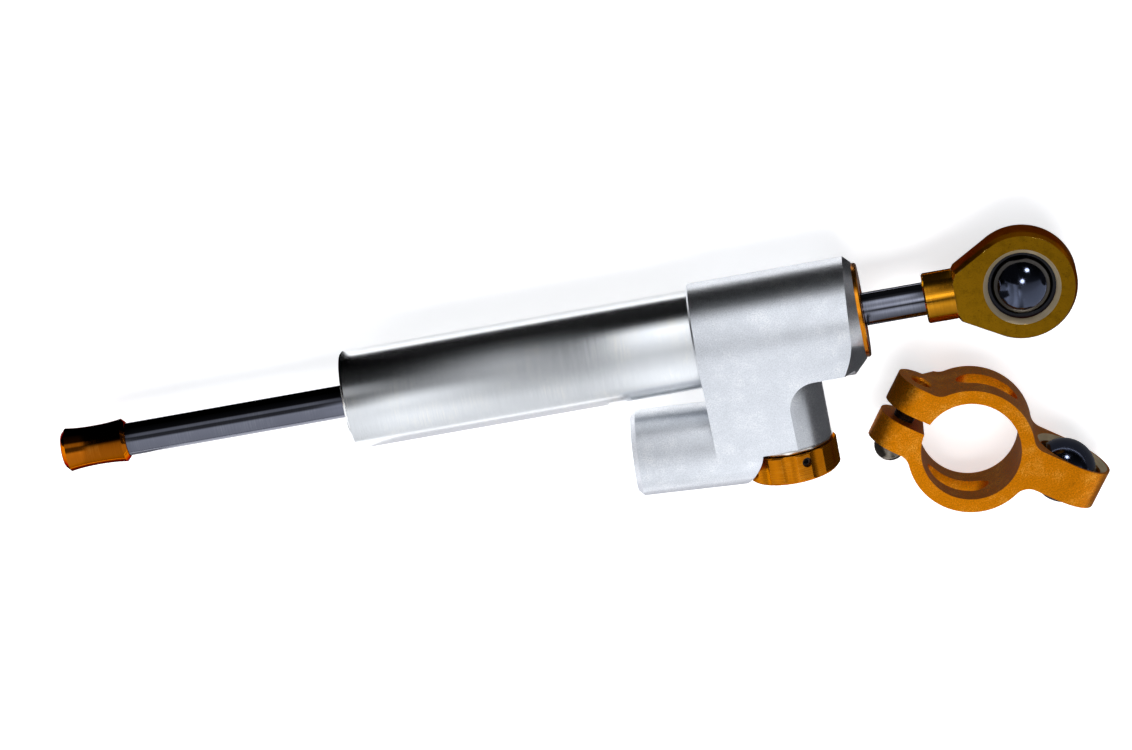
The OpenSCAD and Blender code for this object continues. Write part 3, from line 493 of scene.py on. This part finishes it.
def mark_faces(thing: Thing, axis: Axis, index: int, stations: tuple[float, float],
               radii: tuple[float, float], slant: tuple[float, float] = (0.0, 1.0)) -> None:
    """Gives the faces of one zone about an axis another material slot.

    Args:
        thing: the object, with its mesh in metres.
        axis: the line that stations and radii are measured from, in millimetres.
        index: the material slot.
        stations: the lowest and highest station of a face's middle.
        radii: the least and greatest distance of its middle from the axis.
        slant: the least and greatest size of its normal's part along the axis.
    """
    faces = thing.data.polygons
    data = {}
    for key in ("center", "normal"):
        flat = np.empty(len(faces) * 3)
        faces.foreach_get(key, flat)
        data[key] = flat.reshape(-1, 3)
    m = axis.matrix()
    local = (data["center"] - m[:3, 3]) @ m[:3, :3] / MM
    far = np.hypot(local[:, 1], local[:, 2])
    part = np.abs(data["normal"] @ m[:3, 0])
    inside = np.ones(len(faces), bool)
    for value, (low, high) in ((local[:, 0], stations), (far, radii), (part, slant)):
        inside &= (value >= low) & (value <= high)
    slots = np.zeros(len(faces), np.int32)
    faces.foreach_get("material_index", slots)
    slots[inside] = index
    faces.foreach_set("material_index", slots)
    thing.data.update()
    LOG.info("%s: %d faces wear slot %d", thing.name, int(inside.sum()), index)


class Assembly:
    """A sub-assembly: it knows how to give a piece its body, its node and its finish."""

    body: str = "cylinder"

    def fit(self, piece: Thing, node: str, slot: str, *skins: Skin, body: Optional[str] = None) -> Thing:
        """Lets a new piece stand for a CAD node.

        Args:
            piece: the new piece.
            node: the node that it replaces.
            slot: the record's material slot; not used.
            *skins: its materials, in slot order.
            body: the body that it rides on, if not the assembly's own.

        Returns:
            The piece.
        """
        piece.data.materials.clear()
        for skin in skins:
            piece.data.materials.append(skin)
        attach(piece, body or self.body)
        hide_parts(node)
        LOG.info("%s stands for %s, %d faces", piece.name, node, len(piece.data.polygons))
        return piece

    def give_way(self, node: str, joint: str, line: Axis, keep: float) -> None:
        """Stands a merged copy of a spring's mesh in for its CAD node, in inner steel.

        Args:
            node: the spring's CAD node.
            joint: the joint that presses it; not used.
            line: its fixed end and its direction; not used.
            keep: the share of its length that is left at the limit; not used.
        """
        spring = linked(node + "_skin", merged_mesh(node))
        self.fit(spring, node, "inner_steel", INNER_STEEL.material())
        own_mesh(spring)

    def paint(self, finish: MetalFinish, *nodes: str, axis: Axis = Axis(), tag: str = "") -> None:
        """Gives CAD nodes a finish on their own material slots.

        Args:
            finish: the skin.
            *nodes: the CAD nodes.
            axis: the line that they were turned about.
            tag: an ending for the material's name.
        """
        for node in nodes:
            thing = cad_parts[node]
            if not thing.material_slots:
                thing.data.materials.append(None)
            for slot in thing.material_slots:
                slot.material = finish.material(axis, tag)
            LOG.info("%s wears %s", node, finish.name)


# ---- the damper

@dataclass
class TubeGroup(Assembly):
    """The brushed tube with its gland, and the parts hidden inside it."""

    left: float = -53.7
    right: float = 52.9
    radius: float = 15.0
    bore: float = 12.5
    chamfer: float = 0.8
    spigot_radius: float = 14.0
    spigot_right: float = 61.9
    groove: tuple[float, float] = (-51.7, -50.48)
    groove_depth: float = 0.9
    edge: float = 0.12

    def build(self) -> None:
        """Turns the tube with softly broken edges and dresses what lies inside it."""
        e, r, bore, (start, stop) = self.edge, self.radius, self.bore, self.groove
        deep = bore + self.groove_depth
        outline = rounded([
            (self.left, r - self.chamfer, e), (self.left + self.chamfer, r, e), (self.right, r, e),
            (self.right, self.spigot_radius, 0), (self.spigot_right, self.spigot_radius, e),
            (self.spigot_right, bore, e), (stop, bore, 0), (stop, deep, 0), (start, deep, 0), (start, bore, 0),
            (self.left, bore, e)], closed=True)
        tube = lathe("tube_skin", outline, Axis(), True, 192)
        self.fit(tube, "cylinder_tube", "alu_brushed", BRUSHED_SILVER.material())
        self.paint(BLACK_OXIDE_AND_SPLIT_SHADE, "gland_circlip")
        self.paint(INNER_STEEL, "tube_gland", "piston", "piston_circlips", "floating_piston")
        self.paint(BRONZE, "gland_bush", "cap_bush")
        self.paint(RUBBER, "gland_seal", "cap_seal", "gland_wiper", "cap_wiper", "gland_o_ring", "cap_o_ring",
                   "floating_o_ring", "spindle_o_ring")
        self.paint(BAND_BROWN, "piston_band")


@dataclass
class HeadGroup(Assembly):
    """The blasted head block, its gold cap and the reservoir's plug."""

    edge: float = 0.22
    reservoir_tilt: float = 3.5
    reservoir_end: Corner = (52.9, -33.6, 0.0)
    spring_end: Corner = (35.6, -32.54, 0.0)
    spring_keep: float = 0.75

    def build(self) -> None:
        """Eases the block's edges and dresses the cap and the plug."""
        block = eased_copy("head_block", "head_skin", self.edge)
        self.fit(block, "head_block", "alu_blasted", BLASTED_SILVER.material(), SILVER_EDGE.material())
        self.paint(GOLD_TURNED, "head_cap")
        lean = math.radians(self.reservoir_tilt)
        axis = Axis(self.reservoir_end, (math.cos(lean), -math.sin(lean), 0.0))
        self.paint(COLLAR_SILVER, "reservoir_plug", axis=axis, tag="_plug")
        self.give_way("reservoir_spring", "reservoir_slide", Axis(self.spring_end, axis.way), self.spring_keep)


@dataclass
class RodGroup(Assembly):
    """The chromed rod with its gold tip."""

    body: str = "rod"
    tip_left: float = -142.2
    tip_right: float = -122.1
    tip_radius: float = 6.6
    waist_radius: float = 6.0
    waist_power: float = 2.4
    waist_points: int = 41
    left_chamfer: float = 1.6
    left_fillet: float = 1.4
    right_chamfer: float = 1.2
    right_fillet: float = 0.25
    hole_radius: float = 4.03
    hole_depth: float = 12.02

    def waist(self) -> np.ndarray:
        """Works out the tip's outline between its chamfers: waist + (end - waist) |2t - 1| ^ power.

        Returns:
            Rows of station and radius.
        """
        t = np.linspace(0.0, 1.0, self.waist_points)
        start, end = self.tip_left + self.left_chamfer, self.tip_right - self.right_chamfer
        bulge = (self.tip_radius - self.waist_radius) * np.abs(2 * t - 1) ** self.waist_power
        return np.stack([start + (end - start) * t, self.waist_radius + bulge], 1)

    def build(self) -> None:
        """Turns the tip and dresses the rod."""
        r, start, stop = self.tip_radius, self.tip_left, self.tip_right
        left = rounded([(start, 0, 0), (start, r - self.left_chamfer, self.left_fillet),
                        (start + self.left_chamfer, r, 0)])
        right = rounded([(stop - self.right_chamfer, r, 0), (stop, r - self.right_chamfer, self.right_fillet),
                         (stop, self.hole_radius, 0), (stop - self.hole_depth, self.hole_radius, 0),
                         (stop - self.hole_depth, 0, 0)])
        outline = np.concatenate([left[:-1], self.waist(), right[1:]])
        tip = lathe("tip_skin", outline, Axis(), False, 96)
        self.fit(tip, "rod_tip", "gold_turned", GOLD_TIP.material())
        self.paint(ROD_CHROME_PAINTED_DARK, "damper_rod")


@dataclass
class BallJoint(Assembly):
    """A polished ball in its race: the ball's bore lies in the plane of its housing at rest."""

    body: str = "rod"
    ball_body: str = "eye_bearing"
    race_node: str = "eye_race"
    ball_node: str = "eye_ball"
    race_axis: Axis = EYE_AXIS
    bore_axis: Axis = Axis(EYE_AXIS.point, (0.0, 1.0, 0.0))
    ball_radius: float = 9.8
    bore_radius: float = 4.0
    flat_radius: float = 5.2
    bevel: float = 0.4
    race_radius: float = 11.98
    race_half: float = 3.38
    play: float = 0.03
    ball_points: int = 97
    race_points: int = 33

    def build(self) -> None:
        """Turns the ball and its race as true arcs."""
        half = math.sqrt(self.ball_radius ** 2 - self.flat_radius ** 2)
        edge = math.acos(half / self.ball_radius)
        a = np.linspace(edge, math.pi - edge, self.ball_points)
        arc = np.stack([self.ball_radius * np.cos(a), self.ball_radius * np.sin(a)], 1)
        b, c = self.bore_radius, self.bevel
        ends = np.array([(-half, b + c), (-half + c, b), (half - c, b), (half, b + c)])
        ball = lathe(f"{self.ball_node}_skin", np.concatenate([arc, ends]), self.bore_axis, True, 160)
        self.fit(ball, self.ball_node, "ball_steel", BALL_STEEL_PAINTED_DARK.material(), body=self.ball_body)
        inner, reach = self.ball_radius + self.play, self.race_half
        s = np.linspace(-reach, reach, self.race_points)
        hollow = np.stack([s, np.sqrt(inner ** 2 - s ** 2)], 1)
        outer = np.array([(reach, self.race_radius), (-reach, self.race_radius)])
        race = lathe(f"{self.race_node}_skin", np.concatenate([hollow, outer]), self.race_axis, True)
        self.fit(race, self.race_node, "race_steel", RACE_STEEL.material(self.race_axis, f"_{self.race_node}"))


class EyeSlot(IntEnum):
    """The material slots of the eye, in the order that its skins are given in."""

    FACE = 0
    EDGE = 1
    NECK = 2
    FLARE = 3
    RIM = 4


@dataclass
class EyeGroup(Assembly):
    """The gold eye on the rod's working end, with its turned neck and the bright flare round its hole."""

    body: str = "rod"
    neck: tuple[float, float] = (122.0, 131.9)
    neck_reach: float = 9.0
    thickness: float = 12.0
    rim: tuple[float, float] = (12.5, 30.0)
    edge: float = 0.18

    def build(self) -> None:
        """Eases the eye's edges and sets the neck and the flare off."""
        eye = eased_copy("rod_eye", "eye_skin", self.edge)
        # The faces wear gold darkened as a painted dark reflection; the bevel, neck, flare and rim keep their own
        # colours.
        self.fit(eye, "rod_eye", "gold_eye", EYE_FACE_PAINTED_DARK.material(), EYE_BEVEL.material(EYE_AXIS), GOLD_NECK.material(),
                 FLARE.material(EYE_AXIS, "_eye"), EYE_RIM.material())
        half = self.thickness / 2
        mark_faces(eye, EYE_AXIS, EyeSlot.RIM, (-half, half), self.rim, WALL_SLANT)
        mark_faces(eye, Axis(), EyeSlot.NECK, self.neck, (0.0, self.neck_reach))
        mark_faces(eye, EYE_AXIS, EyeSlot.FLARE, (-half, half), FLARE_RING, CONE_SLANT)


@dataclass
class AdjusterGroup(Assembly):
    """The lobed knob, its grub screw, and the bright collar and detent under it."""

    body: str = "adjuster"
    axis_x: float = 74.7
    edge: float = 0.2

    def build(self) -> None:
        """Eases the knob's edges and dresses its small parts."""
        axis = Axis((self.axis_x, 0.0, 0.0), (0.0, -1.0, 0.0))
        knob = eased_copy("adjuster_knob", "knob_skin", self.edge)
        self.fit(knob, "adjuster_knob", "gold_turned", GOLD_KNOB.material(axis), GOLD_EDGE.material())
        self.paint(BLACK_OXIDE_AND_SPLIT_SHADE, "knob_grub_screw")
        self.paint(COLLAR_SILVER, "adjuster_collar", axis=axis, tag="_collar")
        self.paint(INNER_STEEL, "adjuster_spindle", "detent_ball", "detent_spring", axis=axis, tag="_adjuster")


@dataclass(frozen=True)
class ClampFrame:
    """Where the loose clamp lies: its ring's axis, its turn about Z, and its ear's ball."""

    centre: Corner = (128.1, -47.7, -5.3)
    turn: float = -35.5
    ear_reach: float = 30.0
    ear_offset: float = 3.1

    def point(self, along: float, beside: float, up: float = 0.0) -> Corner:
        """Turns a point of the clamp's own frame into the model's frame.

        Args:
            along: distance along the ear's direction, in millimetres.
            beside: distance across it.
            up: height over the clamp's middle.

        Returns:
            The point.
        """
        x, y, z = self.centre
        c, s, _ = self.along()
        return (x + along * c - beside * s, y + along * s + beside * c, z + up)

    def along(self) -> Corner:
        """Gives the unit direction of the ear."""
        a = math.radians(self.turn)
        return (math.cos(a), math.sin(a), 0.0)

    def beside(self) -> Corner:
        """Gives the unit direction across the ear, which its hole and the pinch screw follow."""
        c, s, _ = self.along()
        return (-s, c, 0.0)

    def ear(self) -> Corner:
        """Gives the middle of the ear's ball."""
        return self.point(self.ear_reach, self.ear_offset)


@dataclass
class ClampGroup(Assembly):
    """The split clamp that lies beside the damper, with its pinch screw."""

    body: str = "clamp"
    place: ClampFrame = ClampFrame()
    screw_reach: float = 21.7
    screw_up: float = 4.0
    lug_offset: float = 0.6
    gap: float = 3.6
    shank: float = 3.0
    crest: float = 0.28
    pitch: float = 0.8
    pitch_points: int = 8
    ear_half: float = 6.0
    flare_slot: int = 2
    edge: float = 0.25
    screw_edge: float = 0.12
    end_gap: float = 0.05
    root_gap: float = 0.01

    def screw_axis(self) -> Axis:
        """Gives the pinch screw's axis, from the middle of the split."""
        return Axis(self.place.point(-self.screw_reach, self.lug_offset, self.screw_up), self.place.beside())

    def thread(self) -> Thing:
        """Cuts the thread that shows in the split: shank + crest (1 - |2 frac(s / pitch) - 1|) at station s.

        Returns:
            The threaded sleeve.
        """
        end = self.gap / 2 - self.end_gap
        s = np.arange(-end, end, self.pitch / self.pitch_points)
        crest = self.crest * (1 - np.abs(2 * np.mod(s / self.pitch, 1.0) - 1))
        outline = np.stack([s, self.shank + self.root_gap + crest], 1)
        return lathe("clamp_thread", outline, self.screw_axis(), False, 64)

    def build(self) -> None:
        """Eases the ring's edges and dresses the screw."""
        ring = eased_copy("clamp_ring", "clamp_skin", self.edge)
        ear = Axis(self.place.ear(), self.place.beside())
        self.fit(ring, "clamp_ring", "gold_blasted", GOLD_BLASTED.material(), GOLD_EDGE.material(),
                 FLARE.material(ear, "_clamp"))
        mark_faces(ring, ear, self.flare_slot, (-self.ear_half, self.ear_half), FLARE_RING, CONE_SLANT)
        screw = eased_copy("clamp_screw", "screw_skin", self.screw_edge)
        self.fit(screw, "clamp_screw", "screw_steel", SCREW_STEEL.material(self.screw_axis(), "_clamp"))
        # The thread in the split wears near-black as painted shade, while the rest of the same screw is brown steel.
        thread = self.thread()
        thread.data.materials.append(BLACK_OXIDE_AND_SPLIT_SHADE.material())
        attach(thread, self.body)


# ---- the studio

@dataclass(frozen=True)
class Zone:
    """One station along X of the studio's arch: how bright it is at angles from straight up towards +Y."""

    x: float
    levels: dict[float, float]
    tint: Colour = (0.975, 1.0, 1.04)

    def ramp(self, sheet: ShaderSheet, share: Socket) -> Socket:
        """Adds the zone's ramp and returns its colour.

        Args:
            sheet: the arch's sheet.
            share: the angle, from 0 at -180 degrees to 1 at +180 degrees.

        Returns:
            The colour's socket.
        """
        node = sheet.tree.nodes.new("ShaderNodeValToRGB")
        steps = node.color_ramp.elements
        for index, (angle, level) in enumerate(self.levels.items()):
            place = (angle + 180.0) / 360.0
            step = steps[index] if index < 2 else steps.new(place)
            step.position = place
            step.color = (*(level * part for part in self.tint), 1.0)
        sheet.tree.links.new(share, node.inputs[0])
        return node.outputs["Color"]


LEFT_ROD = {-100: 0.4, -80: 0.85, -8: 1.0, 4: 0.12, 22: 0.1, 30: 0.5, 42: 0.45, 50: 0.02, 100: 0.0}
HEAD_END = {-100: 0.1, -80: 0.3, -67: 0.5, -43: 0.85, -24: 1.6, -14: 1.2, -5: 0.15, 2: 0.2, 10: 1.5, 18: 1.8,
            27: 1.1, 36: 0.95, 46: 1.5, 56: 1.9, 64: 1.0, 72: 0.1, 98: 0.0}
NECK = {-100: 0.05, -84: 0.2, -67: 0.42, -43: 0.6, -24: 0.9, -14: 0.6, -5: 0.05, 2: 0.1, 10: 1.4, 18: 2.8,
        25: 1.2, 36: 0.4, 50: 0.05, 98: 0.0}
ARCH = (
    Zone(-160.0, {-100: 0.3, -80: 0.62, -42: 0.64, -21: 0.6, -3: 0.52, 8: 0.4, 17: 0.15, 24: 0.01, 32: 0.0, 98: 0.0}),
    Zone(-156.0, LEFT_ROD),
    Zone(-92.0, LEFT_ROD),
    Zone(-74.0, {-100: 0.8, -67: 1.15, -42: 1.35, -21: 1.1, -2: 1.5, 8: 1.0, 17: 0.34, 36: 0.1, 55: 0.0, 98: 0.0}),
    Zone(-48.0, {-100: 0.8, -42: 1.15, -21: 0.9, -2: 1.0, 8: 0.7, 17: 0.36, 36: 0.24, 55: 0.1, 76: 0.02, 98: 0.0}),
    Zone(-20.0, {-100: 0.9, -67: 0.9, -43: 0.85, -21: 0.6, 0: 0.52, 17: 0.52, 36: 0.6, 55: 0.42, 76: 0.12, 98: 0.0}),
    Zone(32.0, {-100: 0.6, -67: 0.8, -43: 0.8, -21: 0.6, -2: 0.42, 17: 0.34, 36: 0.12, 55: 0.02, 76: 0.0, 98: 0.0}),
    Zone(44.0, {-100: 0.8, -67: 1.4, -43: 1.3, -21: 1.0, 0: 0.85, 17: 1.05, 36: 1.5, 52: 1.7, 64: 0.7, 73: 0.0,
                98: 0.0}),
    Zone(72.0, {-100: 0.8, -67: 1.4, -43: 1.3, -21: 1.0, 0: 0.82, 17: 1.0, 36: 1.45, 52: 1.7, 64: 0.7, 73: 0.0,
                98: 0.0}),
    Zone(95.0, {-100: 0.6, -67: 0.8, -43: 0.7, -21: 0.5, 0: 0.42, 17: 0.65, 36: 0.8, 55: 0.9, 66: 0.3, 76: 0.0,
                98: 0.0}),
    Zone(103.0, HEAD_END),
    Zone(113.0, HEAD_END),
    Zone(119.0, NECK),
    Zone(131.0, NECK),
    Zone(140.0, {-100: 0.8, -60: 0.75, -32: 0.62, -17: 0.42, 0: 0.3, 10: 0.06, 36: 0.02, 98: 0.0}),
)


@dataclass(frozen=True)
class Card:
    """A flat sheet of the studio: its name, a corner, the two edges from it, and how bright it is, from 0 to 1."""

    name: str
    corner: Corner
    one: Corner
    two: Corner
    grey: float


FLAGS = (
    Card("flag_low_rod", (-900, 7.5, -13.0), (846, 0, 0), (0, 900, 0), 0.0),
    Card("flag_low_tube", (-54, 30.0, -13.0), (156, 0, 0), (0, 900, 0), 0.01),
    Card("flag_low_right_rod", (102, 14.0, -13.0), (29, 0, 0), (0, 900, 0), 0.02),
    Card("flag_low_eye", (131, 14.0, -13.0), (900, 0, 0), (0, 900, 0), 0.16),
    Card("flag_low_clamp", (94, -130.0, -17.7), (900, 0, 0), (0, 144, 0), 0.13),
    Card("flag_right", (700, -500, -16.0), (0, 1400, 0), (0, 0, 700), 0.03),
    Card("flag_boss", (91, -64.0, -17.7), (0, 44, 0), (0, 0, 32), 0.07),
    Card("flag_end", (104.2, -30.0, -17.0), (0, 21, 0), (0, 0, 60), 0.05),
    Card("flag_left", (-700, -900, -17.0), (0, 1800, 0), (0, 0, 900), 0.12),
    Card("flag_front_tip", (-165, -90.0, -17.6), (45, 0, 0), (0, 84, 0), 0.45),
    Card("flag_front_tube", (-54, -100.0, -17.6), (76, 0, 0), (0, 85, 0), 0.8),
    Card("flag_front_reservoir", (22, -130.0, -17.6), (68, 0, 0), (0, 84, 0), 0.6),
    Card("flag_eye_left", (134, 8.0, 8.0), (0, 190, 0), (0, 0, 190), 0.02),
)
SPARKS = (("spark_eye_middle", (1019.4, 281.9)), ("spark_eye_top", (1024.2, 270.7)))


@dataclass
class Studio:
    """A white floor, soft lamps, flags and an arch that only reflections see, and the camera at the photo's angle.

    The camera leans back, turns and rolls by the first three, in degrees. It stands at the distance from a target
    shifted right and up, and sees view_width of the plane through it.
    """

    lean: float = 17.0
    yaw: float = 5.37
    roll: float = 10.005
    distance: float = 1500.0
    view_width: float = 340.5
    shift: tuple[float, float] = (12.5, -3.88)
    picture: tuple[float, float] = (1132.0, 750.0)
    sensor: float = 36.0
    clip: tuple[float, float] = (0.05, 30.0)
    floor: float = -17.8
    floor_half: float = 4000.0
    floor_grey: float = 0.82
    floor_glow: float = 0.58
    flag_blue: float = 1.06
    sky_colour: Colour = (0.9, 0.93, 1.0)
    sky_strength: float = 0.55
    arch_radius: float = 200.0
    arch_half: float = 2400.0
    arch_reach: float = 100.0
    arch_grid: tuple[int, int] = (81, 13)
    spark_size: float = 0.6
    spark_strength: float = 14.0
    spark_reach: float = 150.0
    spark_sides: int = 48

    def axes(self) -> tuple[np.ndarray, np.ndarray, np.ndarray]:
        """Works out the directions to the camera, to the right and up, before the roll.

        Returns:
            The three directions.
        """
        lean, yaw = math.radians(self.lean), math.radians(self.yaw)
        to_eye = np.array([math.sin(yaw), math.sin(lean) * math.cos(yaw), math.cos(lean) * math.cos(yaw)])
        to_eye /= np.linalg.norm(to_eye)
        right = np.array([1.0, 0.0, 0.0]) - to_eye[0] * to_eye
        right /= np.linalg.norm(right)
        return to_eye, right, np.cross(to_eye, right)

    def camera(self) -> None:
        """Sets the camera at the photo's angle, with no shift and no depth of field."""
        to_eye, right, up = self.axes()
        roll = math.radians(self.roll)
        target = self.shift[0] * right + self.shift[1] * up
        x = right * math.cos(roll) - up * math.sin(roll)
        y = right * math.sin(roll) + up * math.cos(roll)
        data = bpy.data.cameras.new("studio_camera")
        data.sensor_width, data.lens = self.sensor, self.sensor * self.distance / self.view_width
        data.clip_start, data.clip_end = self.clip
        eye = linked("studio_camera", data)
        place = np.eye(4)
        place[:3, 0], place[:3, 1], place[:3, 2] = x, y, to_eye
        place[:3, 3] = (target + self.distance * to_eye) * MM
        eye.matrix_world = Matrix(place.tolist())
        bpy.context.scene.camera = eye

    def sky(self) -> None:
        """Makes the world white where the camera or a reflection sees it, and a plain grey light otherwise."""
        sheet = ShaderSheet("studio_world", world=True)
        plain = sheet.add("Background", Color=(*self.sky_colour, 1.0), Strength=self.sky_strength)
        white = sheet.add("Background", Color=(*WHITE, 1.0), Strength=1.0)
        bpy.context.scene.world = sheet.close(sheet.add("MixShader", i0=sheet.seen(), i1=plain, i2=white))

    def ground(self) -> None:
        """Lays the floor: a pale matt sheet that reads as white and keeps the object's soft shadow."""
        sheet = ShaderSheet("floor_white")
        grey, half = self.floor_grey, self.floor_half
        matt = sheet.add("BsdfDiffuse", Color=(grey, grey, grey, 1.0), Roughness=0.5)
        light = sheet.math("MULTIPLY", sheet.seen(), self.floor_glow)
        glow = sheet.add("Emission", Color=(*WHITE, 1.0), Strength=light)
        skin = sheet.close(sheet.add("AddShader", i0=matt, i1=glow))
        self.put(Card("floor", (-half, -half, self.floor), (2 * half, 0, 0), (0, 2 * half, 0), grey), skin)

    def put(self, card: Card, skin: Skin) -> Thing:
        """Makes a flat sheet of the studio.

        Args:
            card: its name, its corner and its edges.
            skin: its material.

        Returns:
            The sheet.
        """
        c, a, b = (np.array(v, float) * MM for v in (card.corner, card.one, card.two))
        mesh = bpy.data.meshes.new(card.name)
        mesh.from_pydata([tuple(c), tuple(c + a), tuple(c + a + b), tuple(c + b)], [], [(0, 1, 2, 3)])
        mesh.materials.append(skin)
        thing = linked(card.name, mesh)
        return thing

    def hang(self, flag: Card) -> None:
        """Hangs a sheet that only reflections see, as a photographer's flag.

        Args:
            flag: its name, its place and its brightness.
        """
        skin = glow_skin(flag.name, (flag.grey, flag.grey, flag.grey * self.flag_blue))
        self.reflect_only(self.put(flag, skin))

    def spark(self, name: str, pixel: tuple[float, float], centre: Corner, radius: float) -> None:
        """Hangs a round lamp that only reflections see, so that a ball shows it at one place of the picture.

        The ball's normal there is the offset from its middle over its radius, and the ray to the camera is
        mirrored about it: way = 2 (n . d) n - d. A disc stands out along that way.

        Args:
            name: the lamp's name.
            pixel: the place in the picture.
            centre: the ball's middle in millimetres.
            radius: the ball's radius.
        """
        to_eye, right, up = self.axes()
        roll, scale = math.radians(self.roll), self.picture[0] / self.view_width
        middle = np.array(centre) - self.shift[0] * right - self.shift[1] * up
        depth = self.distance / (self.distance - middle @ to_eye)
        across = (pixel[0] - self.picture[0] / 2) / scale / depth
        high = (self.picture[1] / 2 - pixel[1]) / scale / depth
        x = across * math.cos(roll) + high * math.sin(roll) - middle @ right
        y = high * math.cos(roll) - across * math.sin(roll) - middle @ up
        view = to_eye * self.distance - middle
        view /= np.linalg.norm(view)
        out = math.sqrt(max(radius ** 2 - x ** 2 - y ** 2, 0.0))
        normal = (x * right + y * up + out * to_eye) / radius
        way = 2 * (normal @ view) * normal - view
        reach, sides = self.spark_reach, self.spark_sides
        side = np.cross(way, (0.0, 1.0, 0.0))
        side /= np.linalg.norm(side)
        rise = np.cross(side, way)
        turn = np.linspace(0.0, 2 * math.pi, sides, endpoint=False)[:, None]
        wide = reach * 2 * self.spark_size / radius
        middle = np.array(centre) + normal * radius + way * reach
        ring = middle + wide * (np.cos(turn) * side + np.sin(turn) * rise)
        mesh = bpy.data.meshes.new(name)
        mesh.from_pydata((ring * MM).tolist(), [], [tuple(range(sides))])
        mesh.materials.append(glow_skin(name, WHITE, self.spark_strength))
        thing = linked(name, mesh)
        self.reflect_only(thing)
        LOG.info("%s hangs at %s", name, np.round(middle, 1))

    def arch(self) -> None:
        """Bends a shell round the X axis that only reflections see, bright and dark as the photo's studio is.

        The brightness follows the angle from straight up towards +Y, arctan2(y, z), through one ramp per zone,
        and blends from zone to zone along X.
        """
        sheet = ShaderSheet("studio_arch")
        spot = sheet.tree.nodes.new("ShaderNodeSeparateXYZ")
        sheet.tree.links.new(sheet.add("TexCoord", "Object"), spot.inputs[0])
        angle = sheet.math("ARCTAN2", spot.outputs["Y"], spot.outputs["Z"])
        share = sheet.spread(angle, -math.pi, math.pi)
        level = ARCH[0].ramp(sheet, share)
        for before, after in zip(ARCH, ARCH[1:]):
            step = sheet.spread(spot.outputs["X"], before.x * MM, after.x * MM)
            level = sheet.blend(step, level, after.ramp(sheet, share))
        skin = sheet.close(sheet.add("Emission", Color=level, Strength=1.0))
        (rows, columns), radius = self.arch_grid, self.arch_radius
        turn = np.radians(np.linspace(-self.arch_reach, self.arch_reach, rows))[:, None]
        x = np.linspace(-self.arch_half, self.arch_half, columns)[None, :]
        grid = np.stack([x + 0 * turn, radius * np.sin(turn) + 0 * x, radius * np.cos(turn) + 0 * x], -1)
        shell = surface("studio_arch", grid.reshape(-1, 3) * MM, grid_faces(rows, columns, False, False))
        shell.data.materials.append(skin)
        self.reflect_only(shell)

    def reflect_only(self, thing: Thing) -> None:
        """Hides a thing from everything but reflections."""
        thing.visible_camera = thing.visible_diffuse = thing.visible_shadow = False
        thing.visible_transmission = thing.visible_volume_scatter = False

    def lamp(self, name: str, place: Corner, aim: Corner, size: tuple[float, float], power: float) -> None:
        """Hangs a soft white lamp that reflections don't show.

        Args:
            name: the lamp's name.
            place: where it hangs, in millimetres.
            aim: the point that it faces.
            size: its width and height in millimetres.
            power: its power in watts.
        """
        data = bpy.data.lights.new(name, "AREA")
        data.shape, data.size, data.size_y = "RECTANGLE", size[0] * MM, size[1] * MM
        data.energy = power
        thing = linked(name, data)
        way = Vector(aim) - Vector(place)
        thing.matrix_world = Matrix.Translation(Vector(place) * MM) @ way.to_track_quat("-Z", "Y").to_matrix().to_4x4()
        thing.visible_glossy = False

    def build(self) -> None:
        """Sets up the whole studio."""
        self.camera()
        self.sky()
        self.ground()
        for flag in FLAGS:
            self.hang(flag)
        for name, pixel in SPARKS:
            self.spark(name, pixel, EYE_AXIS.point, BallJoint.ball_radius)
        self.arch()
        self.lamp("softbox_top", place=(60, -420, 900), aim=(20, -10, 0), size=(900, 500), power=9.0)
        self.lamp("softbox_left", place=(-800, -300, 500), aim=(0, 0, 0), size=(500, 500), power=4.0)
        bpy.context.scene.view_settings.view_transform = "Standard"


def main() -> None:
    """Builds the studio and every sub-assembly."""
    logging.basicConfig(level=logging.INFO, format="%(name)s: %(message)s")
    Studio().build()
    lie = ClampFrame()
    groups = [
        TubeGroup(), HeadGroup(), RodGroup(), EyeGroup(), BallJoint(), AdjusterGroup(), ClampGroup(),
        BallJoint(body="clamp", ball_body="clamp_bearing", race_node="clamp_race", ball_node="clamp_ball",
                  race_axis=Axis(lie.ear(), lie.beside()), bore_axis=Axis(lie.ear(), lie.along())),
    ]
    for group in groups:
        group.build()
        LOG.info("%s is built", type(group).__name__)


if __name__ == "__main__":
    main()
